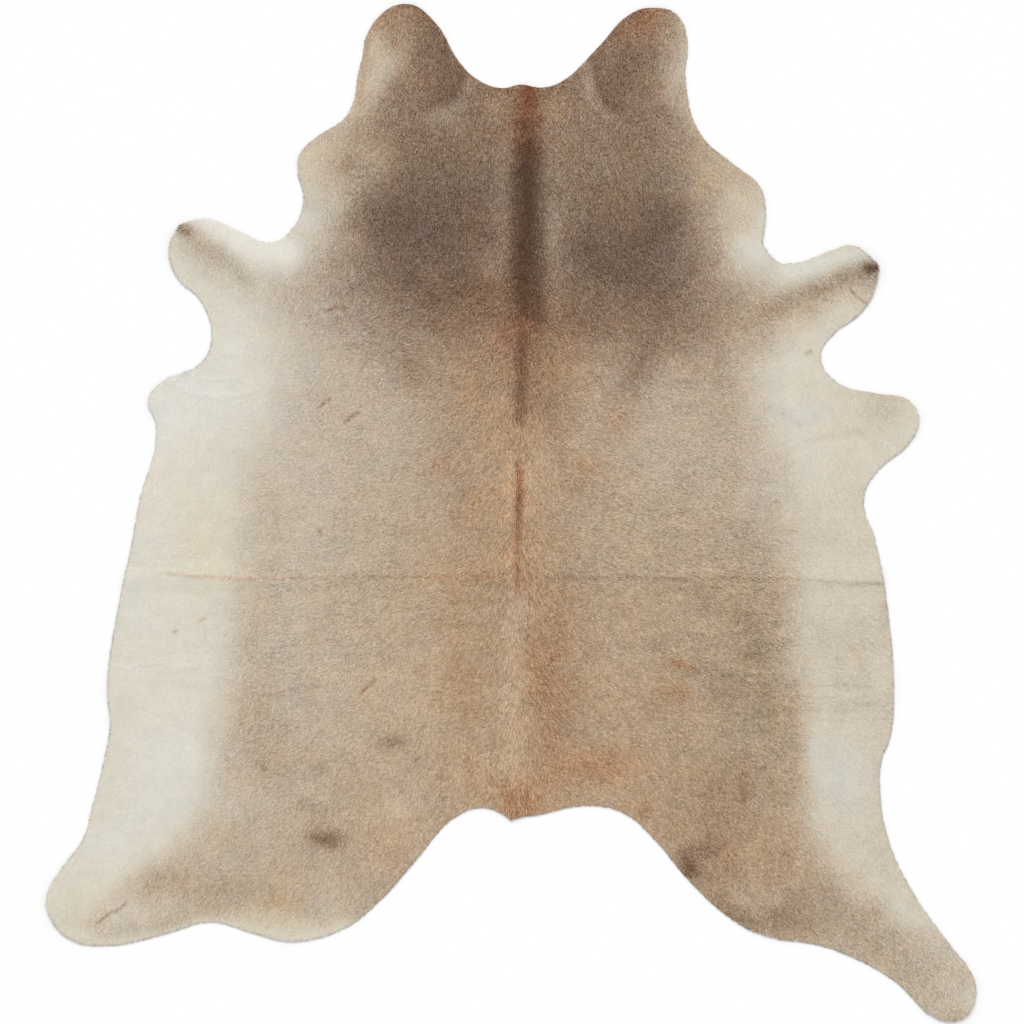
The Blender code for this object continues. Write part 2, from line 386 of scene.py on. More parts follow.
def ripple(column, row):
    """Hair-thin wrinkles that run across the loose skin of the flanks, from -1 to 1."""
    beside = np.abs(column - RIPPLES_PARTING) - RIPPLES_BEGIN
    flank = smooth(beside / RIPPLES_FADE_IN) * bump(row - RIPPLES_ROW, RIPPLES_HALF_LENGTH)
    bent = row + RIPPLE_BEND * soft_noise(column, row, BEND_SIZE, 21)
    return flank * soft_noise(column / RIPPLE_STRETCH, bent, RIPPLE_SPACING, 22)

def skin_top(x, y):
    """The height of the skin that the hair grows from."""
    ripples = RIPPLE_HEIGHT * ripple(*on_sheet(x, y))
    return lift(x, y) + wrinkles(x, y) + ripples + LEATHER + GROUND_GAP

print(f"{len(WRINKLES)} wrinkles, the highest {max(line[2] for line in WRINKLES)} mm")

# %% [markdown]
# ## The coat's ground
# The coat is too dense to see the skin, but between the hairs there is shade. A second sheet
# of finer squares lies on the leather and carries the coat's colour, made a little darker with
# painted shade for the shade between the hairs. Hair alone, without this ground, would need many times as
# many strands.

# %% Ground of the coat
GROUND_CELL = 9 * MM
GROUND_INSET = 2 * MM
ground = cut_sheet("coat_ground", GROUND_CELL, GROUND_INSET)
points = corners_of(ground.data)
points[:, 2] = skin_top(points[:, 0], points[:, 1])
move_corners(ground.data, points)
bpy.ops.object.shade_smooth()
print(f"coat ground {len(ground.data.polygons)} faces")

# %% [markdown]
# ## The colours of the coat
# This is a taupe hide with a dark hump, a dark line down the spine, a warm back and a cream
# belly. An animal's colours are soft-edged, so they are laid on like dye: first the back
# from neck to tail, then the pale edges, then spots and strokes, one over the other. Some spots
# and strokes are painted shade on creases, folds and wrinkles, and one is a painted highlight.
# Image textures could hold the same, but every mark here can be moved or dyed anew.

# %% Named colours of the coat
COAT = {
    "cream": (215, 209, 194),
    "chalk": (230, 227, 217),
    "ash": (206, 200, 192),
    "milk white": (222, 222, 213),
    "blue white": (208, 209, 203),
    "butter": (219, 206, 180),
    "pale sand": (210, 199, 182),
    "sand": (199, 186, 167),
    "rose taupe": (176, 160, 143),
    "tan": (190, 168, 143),
    "peach": (178, 147, 117),
    "apricot": (196, 160, 128),
    "ochre": (184, 156, 122),
    "olive": (156, 136, 111),
    "fox": (160, 112, 78),
    "russet": (138, 94, 66),
    "rust": (134, 80, 46),
    "taupe": (156, 136, 117),
    "umber": (128, 104, 83),
    "charcoal": (106, 87, 72),
    "bark": (84, 62, 44),
    "soot": (66, 48, 36),
}

# row of the layout sheet, colour of the back there
BACK = (
    (0, (160, 135, 113)),
    (60, (152, 130, 111)),
    (120, (146, 124, 106)),
    (180, (154, 136, 117)),
    (240, (160, 140, 122)),
    (310, (167, 148, 130)),
    (350, (173, 154, 135)),
    (400, (182, 165, 146)),
    (450, (184, 167, 147)),
    (580, (182, 162, 138)),
    (700, (182, 162, 139)),
    (820, (181, 161, 138)),
    (900, (180, 162, 140)),
    (1000, (184, 172, 154)),
)
print(f"{len(COAT)} named colours, {len(BACK)} shades down the back")

# %% [markdown]
# ## Where the pale edges begin
# The belly and the sides of the neck are pale. Each edge is a line from neck to tail with a
# softness of its own, since the change is sharp at the loins and slow at the shoulders.

# %% Pale edges
# place, side, colour, strength, then row, column where it begins and how soft the change is
PALE_EDGES = (
    ("left side of the neck", -1, "pale sand", 0.95, (
        (0, 374, 10), (36, 378, 10), (60, 394, 12), (80, 386, 14), (104, 376, 18), (140, 350, 44),
        (180, 356, 44), (220, 338, 36), (255, 326, 38),
    )),
    ("left belly", -1, "cream", 1.0, (
        (250, 304, 40), (300, 274, 44), (340, 300, 42), (390, 300, 42), (430, 276, 40), (500, 246, 36),
        (640, 242, 28), (740, 222, 24), (780, 210, 28), (810, 206, 28), (840, 184, 26), (880, 136, 26),
        (920, 100, 24), (1000, 50, 20),
    )),
    ("right side of the neck", 1, "sand", 0.95, (
        (0, 680, 14), (60, 668, 14), (100, 664, 14), (140, 704, 22), (180, 712, 30), (220, 706, 26),
        (255, 712, 28),
    )),
    ("right belly", 1, "cream", 1.0, (
        (250, 734, 30), (300, 770, 44), (340, 772, 38), (370, 752, 34), (420, 762, 34), (500, 786, 40),
        (600, 796, 24), (740, 806, 10), (800, 810, 16), (850, 816, 22), (900, 864, 28), (940, 920, 30),
        (1020, 980, 24),
    )),
)
print(f"{len(PALE_EDGES)} pale edges")

# %% [markdown]
# ## Spots
# Most marks are soft ovals. Broad and faint ones come first, as a dyer lays a wash, and small
# ones follow. Each was typed in one by one. Renders were then compared with the photo, by the
# mean colour of small boxes, and the marks that were off were corrected.

# %% Spots
# place, column, row, half width, half height, turn, colour, strength
SPOTS = (
    # broad and faint, under the others
    ("left shoulder's fall", 288, 272, 50, 60, 0, "pale sand", 0.24),
    ("left elbow's fall", 190, 350, 44, 60, 0, "milk white", 0.30),
    ("left belly's fall", 132, 560, 50, 160, 0, "milk white", 0.32),
    ("left ribs", 366, 424, 44, 56, 0, "pale sand", 0.16),
    ("left ribs' outer side", 308, 446, 40, 50, 0, "pale sand", 0.16),
    ("left loin's outer side", 345, 700, 56, 64, 0, "pale sand", 0.26),
    ("left rump's outer side", 214, 838, 54, 44, 0, "pale sand", 0.30),
    ("left thigh's end", 306, 898, 54, 40, 0, "pale sand", 0.22),
    ("right ribs", 676, 444, 40, 44, 0, "pale sand", 0.16),
    ("behind the right hump", 580, 262, 56, 76, 0, "charcoal", 0.30),
    ("right of it", 646, 326, 56, 36, 0, "umber", 0.26),
    ("behind the left hump", 456, 292, 50, 44, 0, "charcoal", 0.30),
    ("ahead of the stripe's end", 500, 356, 30, 44, 0, "umber", 0.22),
    ("middle of the back", 520, 540, 64, 120, 0, "umber", 0.12),
    ("right of the tail's line", 560, 700, 44, 130, 0, "umber", 0.20),
    ("right loin", 670, 720, 84, 130, 0, "umber", 0.13),
    ("right belly's outer side", 862, 760, 40, 170, 0, "sand", 0.30),
    ("right foreleg's underside", 852, 326, 40, 20, 0, "sand", 0.35),
    ("right flap's top", 872, 392, 50, 18, 0, "sand", 0.30),
    # neck and cheeks
    ("left cheek's outer side", 370, 50, 12, 44, 0, "tan", 0.6),
    ("left shoulder, warm", 336, 166, 26, 30, 0, "tan", 0.45),
    ("right shoulder, warm", 712, 172, 24, 30, 0, "tan", 0.65),
    ("left cheek's lobe", 440, 80, 22, 24, 0.25, "umber", 0.75),
    ("left of the lobe", 396, 110, 14, 16, 0, "taupe", 0.25),
    ("right cheek's top", 634, 30, 24, 16, -0.5, "fox", 0.50),
    ("right cheek's lobe", 614, 84, 17, 28, -0.25, "umber", 0.80),
    ("right cheek's middle", 630, 66, 28, 28, 0, "umber", 0.75),
    ("left cheek's middle", 434, 40, 16, 24, 0, "umber", 0.5),
    ("left cheek's top, warm", 404, 22, 20, 14, 0, "tan", 0.35),
    ("beside the nape, far right", 560, 88, 14, 12, 0, "umber", 0.4),
    ("right cheek's outer side", 678, 58, 8, 16, 0, "rose taupe", 0.6),
    ("beside the nape, left", 496, 98, 12, 14, 0, "ochre", 0.30),
    ("beside the nape, right", 552, 104, 12, 18, 0, "ochre", 0.35),
    ("neck, left", 430, 152, 56, 38, 0, "umber", 0.48),
    ("neck, left by the stripe", 484, 150, 22, 50, 0, "umber", 0.25),
    ("neck, right", 640, 150, 44, 34, 0, "umber", 0.42),
    ("neck, right by the stripe", 576, 164, 28, 34, 0, "umber", 0.22),
    # hump
    ("hump, left core", 392, 222, 36, 34, 0, "charcoal", 0.72),
    ("hump, left", 412, 250, 58, 56, 0, "charcoal", 0.66),
    ("hump, left front", 440, 196, 54, 36, 0, "charcoal", 0.50),
    ("hump, left by the stripe", 474, 230, 30, 54, 0, "charcoal", 0.60),
    ("hump, left rear", 440, 296, 36, 30, 0, "umber", 0.55),
    ("hump, right core", 662, 222, 30, 30, 0, "charcoal", 0.72),
    ("hump, right", 632, 260, 52, 46, 0, "charcoal", 0.80),
    ("hump, right by the stripe", 590, 256, 24, 54, 0, "charcoal", 0.60),
    ("hump, right front", 610, 196, 40, 30, 0, "umber", 0.55),
    ("pale strip beside the stripe", 555, 220, 7, 30, 0, "rose taupe", 0.35),
    ("dark strip behind it", 549, 292, 8, 14, 0, "umber", 0.45),
    ("hump, right rear", 654, 290, 34, 18, 0, "charcoal", 0.45),
    ("pale place, left", 484, 268, 10, 14, 0, "tan", 0.35),
    ("warm place, left", 482, 296, 18, 18, 0, "russet", 0.45),
    ("behind the core, left", 462, 274, 22, 20, 0, "charcoal", 0.45),
    ("behind the core, right", 570, 298, 18, 18, 0, "umber", 0.5),
    ("warm place, upper left", 476, 226, 14, 20, 0, "russet", 0.25),
    ("beside the stripe, left", 500, 306, 12, 20, 0, "bark", 0.40),
    ("beside the stripe, upper left", 504, 252, 9, 14, 0, "tan", 0.35),
    ("behind the hump, left", 466, 318, 50, 32, 0, "umber", 0.70),
    ("behind the hump, right", 572, 324, 44, 30, 0, "umber", 0.65),
    ("right behind the hump, outer", 668, 318, 50, 24, 0, "umber", 0.50),
    ("left behind the hump, outer", 350, 296, 44, 30, 0, "umber", 0.25),
    ("right shoulder, ochre", 742, 204, 14, 16, 0, "butter", 0.25),
    ("right shoulder, bright", 748, 250, 18, 16, 0, "milk white", 0.6),
    ("left shoulder, ochre", 306, 150, 14, 12, 0, "butter", 0.5),
    # back
    ("left yoke", 412, 372, 20, 34, -0.5, "umber", 0.32),
    ("withers, left", 472, 372, 34, 56, 0, "umber", 0.32),
    ("withers, left low", 456, 434, 20, 26, 0, "umber", 0.22),
    ("withers, right", 550, 392, 22, 40, 0, "fox", 0.30),
    ("right yoke", 640, 366, 16, 40, 0.45, "umber", 0.55),
    ("right yoke's foot", 616, 420, 16, 18, 0, "fox", 0.25),
    ("left of the withers", 472, 390, 34, 40, 0, "peach", 0.35),
    ("right of the withers", 560, 380, 34, 40, 0, "peach", 0.55),
    ("left mid patch", 445, 467, 15, 14, 0, "fox", 0.38),
    ("left mid patch, low", 486, 500, 20, 20, 0, "peach", 0.30),
    ("right mid patch", 584, 466, 24, 20, 0, "fox", 0.24),
    ("left pink patch", 300, 396, 30, 16, 0, "rose taupe", 0.20),
    ("left flank, light", 300, 510, 40, 80, 0, "pale sand", 0.36),
    ("left flank, light low", 284, 640, 34, 60, 0, "sand", 0.36),
    ("left ribs, upper light", 340, 376, 22, 34, 0, "sand", 0.45),
    ("right flank, light", 742, 500, 20, 40, 0, "sand", 0.30),
    ("middle, light", 537, 474, 12, 20, 0, "tan", 0.40),
    ("right flank, brown", 750, 540, 24, 28, 0, "taupe", 0.50),
    ("right flank, upper", 752, 476, 20, 30, 0, "rose taupe", 0.25),
    # loins
    ("left flank, cool low", 296, 680, 36, 60, 0, "rose taupe", 0.35),
    ("left side, light", 392, 680, 50, 100, 0, "tan", 0.50),
    ("left ribs, light", 370, 520, 60, 80, 0, "sand", 0.22),
    ("right side, light", 614, 670, 24, 50, 0, "tan", 0.55),
    ("left of the loin", 458, 590, 24, 80, 0, "peach", 0.45),
    ("left of the loin, low", 462, 690, 20, 40, 0, "fox", 0.28),
    ("right of the loin", 546, 680, 20, 60, 0, "fox", 0.36),
    ("right of the loin, high", 552, 610, 20, 40, 0, "fox", 0.20),
    ("right side, warm", 640, 700, 60, 70, 0, "peach", 0.25),
    ("right side, streak 1", 680, 664, 16, 6, 0.1, "fox", 0.45),
    ("right side, streak 2", 678, 692, 22, 8, 0.1, "fox", 0.30),
    ("right flank, olive", 756, 690, 30, 90, 0, "olive", 0.85),
    ("right flank, high", 758, 600, 22, 40, 0, "olive", 0.30),
    ("right flank, spot", 749, 655, 7, 5, 0, "russet", 0.35),
    # rump and hind legs
    ("rump by the tail, right", 600, 768, 60, 30, 0, "apricot", 0.45),
    ("rump, bright brown", 596, 764, 40, 18, 0, "fox", 0.45),
    ("beside the tail", 538, 800, 14, 18, 0, "fox", 0.45),
    ("right thigh, upper", 722, 872, 30, 22, 0.4, "umber", 0.25),
    ("right belly's end", 880, 860, 18, 44, -0.3, "sand", 0.45),
    ("right foot, light", 944, 950, 44, 28, 0.8, "rose taupe", 0.42),
    ("right foot, tip", 970, 976, 20, 30, 0, "sand", 0.8),
    ("left foot, tip", 78, 932, 40, 18, 0, "sand", 0.35),
    ("right thigh, lowest", 806, 928, 40, 18, 0, "tan", 0.45),
    ("right thigh, inner edge", 728, 912, 30, 12, 0.8, "umber", 0.45),
    ("right thigh, inner edge high", 692, 884, 18, 10, 0.8, "umber", 0.35),
    ("left foot, light", 130, 912, 46, 18, 0, "pale sand", 0.8),
    ("left hind leg, low rim", 290, 928, 52, 13, 0, "butter", 0.6),
    ("rump, far right", 720, 800, 44, 50, 0, "olive", 0.55),
    ("rump, far right, warm", 716, 836, 50, 46, 0, "fox", 0.22),
    ("rump, streak", 744, 790, 5, 24, 0, "fox", 0.35),
    ("rump by the tail, left", 470, 770, 34, 26, 0, "peach", 0.40),
    ("right edge spot", 690, 866, 12, 10, 0.5, "bark", 0.65),
    ("right edge spot's shade", 706, 848, 20, 12, -0.4, "umber", 0.55),
    ("right thigh, warm", 786, 862, 26, 24, 0, "fox", 0.22),
    ("right thigh, edge", 768, 922, 40, 14, 0.15, "umber", 0.50),
    ("right thigh, low", 796, 900, 20, 12, 0.3, "taupe", 0.55),
    ("right shank", 826, 896, 34, 20, 0.6, "taupe", 0.40),
    ("right shank, low", 856, 936, 40, 20, 0.7, "taupe", 0.25),
    ("left blotch", 390, 741, 16, 7, 0, "umber", 0.50),
    ("left blotch's tail", 440, 770, 12, 18, 0, "umber", 0.12),
    ("left rump, cool", 262, 768, 30, 14, 0, "taupe", 0.35),
    ("left thigh spot", 325, 838, 17, 9, 0.2, "bark", 0.60),
    ("left thigh spot, upper", 308, 806, 18, 8, 0.3, "taupe", 0.45),
    ("left thigh, ochre", 228, 832, 24, 20, 0, "ochre", 0.45),
    ("left thigh, low ochre", 280, 900, 26, 10, 0.2, "ochre", 0.5),
    ("left shank", 164, 882, 24, 14, -0.3, "taupe", 0.18),
    ("left belly's foot, white", 110, 842, 38, 24, -0.6, "milk white", 0.50),
    ("left shank, low", 220, 892, 50, 16, 0.1, "taupe", 0.15),
    ("left thigh, peach", 388, 850, 30, 34, -0.6, "apricot", 0.40),
    ("left thigh, warm", 290, 874, 20, 14, 0, "peach", 0.30),
    # small corrections
    ("left shoulder point, bright", 302, 220, 16, 14, 0, "milk white", 0.55),
    ("right foreleg, bright rim", 824, 256, 34, 9, -0.3, "cream", 0.70),
    ("left foreleg's foot", 170, 252, 12, 18, 0, "cream", 0.70),
    ("left foreleg, bright", 252, 239, 32, 15, 0.3, "milk white", 0.95),
    ("left neck, light", 376, 158, 22, 28, 0, "tan", 0.45),
    ("right shoulder, light", 736, 270, 22, 16, 0, "pale sand", 0.45),
    ("left of the nape's edge", 495, 88, 18, 9, 0, "umber", 0.50),
    ("left hump's rim by the stripe", 497, 246, 9, 16, 0, "bark", 0.28),
    ("left cheek, outer light", 370, 34, 9, 14, 0, "sand", 0.40),
    ("left cheek, inner dark", 419, 55, 10, 12, 0, "umber", 0.42),
    ("right shoulder's edge, low", 764, 250, 12, 12, 0, "milk white", 0.60),
    ("right lobe's rim", 592, 78, 7, 9, 0, "rose taupe", 0.40),
    ("left neck's corner", 371, 101, 12, 10, 0, "taupe", 0.35),
    ("right foreleg's middle", 861, 273, 10, 7, 0, "rose taupe", 0.40),
    ("left hump's rear, dark", 474, 298, 18, 18, 0, "bark", 0.32),
    ("right cheek, dark", 674, 44, 12, 22, 0, "taupe", 0.40),
    ("right throat, warm", 678, 96, 10, 18, 0, "rose taupe", 0.65),
    ("left hump, dark", 446, 240, 22, 26, 0, "charcoal", 0.45),
    ("left rump's edge, light", 240, 768, 14, 26, 0, "pale sand", 0.45),
    ("right withers, dark", 568, 328, 26, 16, 0, "umber", 0.40),
    ("right shoulder's edge, light", 762, 222, 12, 15, 0, "milk white", 0.55),
    ("left lobe's neck", 443, 118, 16, 10, 0, "rose taupe", 0.40),
    ("left shoulder, low light", 283, 273, 14, 14, 0, "cream", 0.45),
    ("left lobe's edge, dark", 457, 70, 9, 12, 0, "bark", 0.35),
    ("left hump's outer light", 352, 237, 14, 16, 0, "tan", 0.35),
    ("beside the stripe, low left", 510, 325, 9, 10, 0, "bark", 0.35),
    ("left cheek's outer light", 371, 31, 10, 20, 0, "tan", 0.60),
    ("left shoulder, middle light", 337, 207, 14, 14, 0, "pale sand", 0.38),
    ("right cheek's tip", 640, 11, 14, 8, 0, "fox", 0.45),
    ("left cheek's middle light", 398, 52, 12, 16, 0, "tan", 0.45),
    ("right of the stripe, neck", 553, 189, 10, 14, 0, "charcoal", 0.32),
    ("right shank's end", 874, 908, 16, 14, 0, "taupe", 0.32),
    ("left thigh, light", 230, 806, 16, 16, 0, "sand", 0.55),
    ("left shoulder, dim", 318, 312, 14, 10, 0, "sand", 0.35),
    ("back's middle, light", 531, 484, 9, 12, 0, "tan", 0.45),
    ("right foreleg, low dim", 873, 287, 10, 10, 0, "taupe", 0.38),
    ("right rump's streak, foot", 748, 792, 8, 12, 0, "umber", 0.30),
    ("left thigh, sand", 397, 805, 16, 14, 0, "sand", 0.50),
    ("nape's right side", 534, 124, 7, 14, 0, "bark", 0.35),
    ("right thigh's low end", 811, 920, 16, 12, 0, "umber", 0.28),
    ("left hump's low end", 409, 279, 16, 14, 0, "charcoal", 0.50),
    ("right lobe's rim, light", 586, 62, 7, 9, 0, "rose taupe", 0.45),
    ("left belly, low blue", 150, 785, 34, 40, 0, "blue white", 0.45),
    ("left elbow, whiter", 192, 396, 50, 22, 0, "milk white", 0.55),
    ("right belly, upper dim", 840, 475, 24, 30, 0, "sand", 0.25),
    ("right of the loin, greyer", 552, 660, 18, 50, 0, "taupe", 0.25),
    ("beside the line, upper left", 470, 505, 20, 56, 0, "umber", 0.17),
    ("back's light place", 506, 482, 9, 13, 0, "sand", 0.50),
    ("back's light place, right", 531, 483, 9, 13, 0, "sand", 0.75),
    ("beside the nape, darker", 510, 88, 10, 9, 0, "umber", 0.45),
    ("beside the nape, darker right", 549, 88, 10, 9, 0, "umber", 0.45),
    ("beside the line, lower left", 492, 624, 16, 56, 0, "umber", 0.14),
    ("beside the line, right", 538, 534, 12, 30, 0, "taupe", 0.22),
    ("beside the loin, right", 548, 624, 14, 30, 0, "umber", 0.12),
    ("rump's middle, right", 568, 712, 18, 56, 0, "umber", 0.12),
    ("right edge spot, warm", 694, 867, 7, 6, 0.6, "russet", 0.35),
    ("left thigh spot's halo", 329, 838, 24, 12, 0.1, "umber", 0.25),
    ("left lobe, dark", 448, 89, 12, 10, 0, "bark", 0.32),
    ("right cheek's top, russet", 638, 18, 12, 9, 0, "russet", 0.35),
    ("right flap, dim", 884, 411, 18, 14, 0, "taupe", 0.22),
    ("right ribs' top, light", 738, 346, 14, 14, 0, "sand", 0.45),
    ("left thigh's rim", 257, 914, 20, 10, 0, "butter", 0.45),
    ("left thigh's low light", 333, 908, 16, 12, 0, "sand", 0.48),
    ("left elbow's inner light", 232, 346, 18, 24, 0, "chalk", 0.60),
    ("left flank, ashy", 296, 560, 56, 250, 0, "ash", 0.26),
    ("left belly, whiter", 166, 580, 56, 240, 0, "chalk", 0.26),
    ("left shoulder, ashy", 306, 310, 56, 60, 0, "ash", 0.26),
    ("left thigh, ashy", 220, 800, 80, 50, 0, "ash", 0.24),
    ("right belly, dimmer", 858, 640, 44, 240, 0, "rose taupe", 0.12),
    ("right flank, ashy", 762, 490, 30, 110, 0, "ash", 0.26),
    ("right flank, ashy low", 748, 730, 26, 60, 0, "ash", 0.12),
    ("right neck, ashy", 682, 130, 22, 36, 0, "ash", 0.16),
    ("left foreleg's calf", 198, 232, 12, 8, 0.4, "tan", 0.40),
    ("right foreleg's shade", 852, 270, 22, 8, -0.2, "taupe", 0.45),
    ("right foot, end", 960, 978, 18, 22, 0, "rose taupe", 0.30),
    ("left foreleg's underside", 180, 270, 16, 20, 0, "chalk", 0.30),
    ("left elbow's fall, bright", 226, 396, 30, 44, 0, "chalk", 0.30),
    ("left loin, light", 430, 690, 32, 44, 0, "tan", 0.24),
    ("right loin, light", 632, 672, 26, 22, 0, "tan", 0.26),
    ("left rump's outer shade", 248, 752, 32, 38, 0, "taupe", 0.15),
    ("right flank's foot", 782, 700, 18, 50, 0, "taupe", 0.14),
    ("right thigh's shade", 780, 868, 24, 24, 0, "taupe", 0.16),
    ("right elbow, dim", 832, 424, 24, 18, 0, "sand", 0.25),
    ("right belly's low shade", 834, 772, 20, 26, 0, "sand", 0.25),
    ("left foot's shade", 78, 928, 28, 18, 0, "rose taupe", 0.14),
    ("right hind leg's light", 884, 868, 18, 18, 0, "rose taupe", 0.14),
    ("right rump's shade", 730, 774, 22, 22, 0, "umber", 0.10),
    ("left belly, low white", 146, 770, 36, 56, 0, "chalk", 0.32),
    ("left neck, russet shade", 430, 76, 16, 18, 0, "umber", 0.22),
    ("ahead of the left yoke", 482, 322, 18, 18, 0, "umber", 0.22),
    ("ahead of the right yoke", 554, 330, 12, 12, 0, "umber", 0.30),
    ("left foreleg's brown side", 212, 272, 26, 14, 0.6, "rose taupe", 0.26),
    ("left cheek's warm top", 388, 18, 16, 10, 0, "fox", 0.14),
    ("left hump's front corner", 353, 218, 12, 12, 0, "umber", 0.35),
    ("left hump's back corner", 437, 298, 14, 10, 0, "charcoal", 0.42),
    ("ahead of the left yoke, dark", 485, 318, 10, 10, 0, "bark", 0.20),
    ("right mid patch, low", 575, 488, 12, 12, 0, "umber", 0.24),
    ("behind the right hump, dark", 568, 316, 12, 10, 0, "bark", 0.20),
    ("right flank, dim", 708, 605, 14, 14, 0, "umber", 0.22),
    ("right hump's outer dark", 686, 267, 12, 12, 0, "charcoal", 0.30),
    ("right rump's rim, warm", 644, 810, 14, 12, 0, "fox", 0.32),
    ("right shank's rim, warm", 786, 910, 16, 10, 0.2, "umber", 0.24),
    ("left rump's edge, sandy", 211, 732, 12, 20, 0, "sand", 0.42),
    ("left foreleg's tip, brown", 183, 224, 8, 7, 0, "umber", 0.28),
    ("right foreleg's root, brown", 808, 286, 14, 8, -0.3, "taupe", 0.32),
    ("left cheek's outer rim, light", 370, 38, 9, 16, 0, "sand", 0.35),
    ("left neck, dim", 348, 168, 12, 12, 0, "umber", 0.25),
    ("left foreleg's back", 206, 254, 8, 8, 0, "pale sand", 0.35),
    ("right flank's russet shade", 722, 692, 16, 16, 0, "umber", 0.26),
    ("left rump, dim", 313, 773, 16, 12, 0, "taupe", 0.32),
    ("right throat, dim", 676, 101, 10, 10, 0, "taupe", 0.40),
    ("right hock, light", 881, 971, 10, 10, 0.8, "sand", 0.45),
    ("nape's left side", 512, 109, 7, 12, 0, "umber", 0.45),
    ("left cheek's pale middle", 392, 58, 12, 18, 0.3, "rose taupe", 0.35),
    # belly
    ("fly mark 1", 320, 530, 2.6, 2.6, 0, "umber", 0.7),
    ("fly mark 2", 590, 763, 3, 2.4, 0, "umber", 0.6),
    *[
        ("fly mark", column, row, 2.6, 2.6, 0, "umber", 0.6)
        for column, row in ((605, 780), (762, 768), (440, 780), (262, 765), (415, 760))
    ],
    ("fly mark 8", 175, 633, 2.6, 2.4, 0, "umber", 0.4),
    ("fly mark 9", 809, 353, 3.0, 2.4, 0.3, "umber", 0.5),
    ("fly mark 10", 840, 660, 2.4, 2.4, 0, "taupe", 0.6),
    ("graze on the left belly", 203, 619, 6, 2.4, -0.6, "fox", 0.30),
    ("left belly, blue", 186, 750, 24, 40, 0, "milk white", 0.4),
    ("left belly, butter", 200, 540, 26, 60, 0, "butter", 0.45),
    ("right belly, blue", 840, 780, 26, 50, 0, "blue white", 0.7),
    ("right belly, butter", 836, 540, 40, 60, 0, "sand", 0.40),
    # painted shade of the wrinkles on the right belly
    ("right belly, low", 846, 690, 40, 50, 0, "sand", 0.45),
    ("right belly, lowest", 838, 840, 30, 60, -0.3, "sand", 0.40),
    # painted shade of the wrinkles on the right belly and at its edge
    ("right belly, folds", 812, 646, 26, 40, 0, "sand", 0.6),
    ("right belly, folds beside", 860, 642, 26, 30, 0, "sand", 0.6),
    ("right belly, edge", 886, 610, 12, 20, 0, "sand", 0.6),
    ("left elbow, blue", 156, 412, 44, 36, 0, "milk white", 0.9),
    ("left elbow, upper", 200, 380, 30, 16, 0, "milk white", 0.6),
    ("right elbow, blue", 796, 414, 26, 14, 0.3, "blue white", 0.5),
    ("right flap, butter", 880, 430, 24, 22, 0, "sand", 0.35),
    ("right flap, upper rim", 884, 394, 26, 8, 0.1, "sand", 0.7),
)

print(f"{len(SPOTS)} spots")
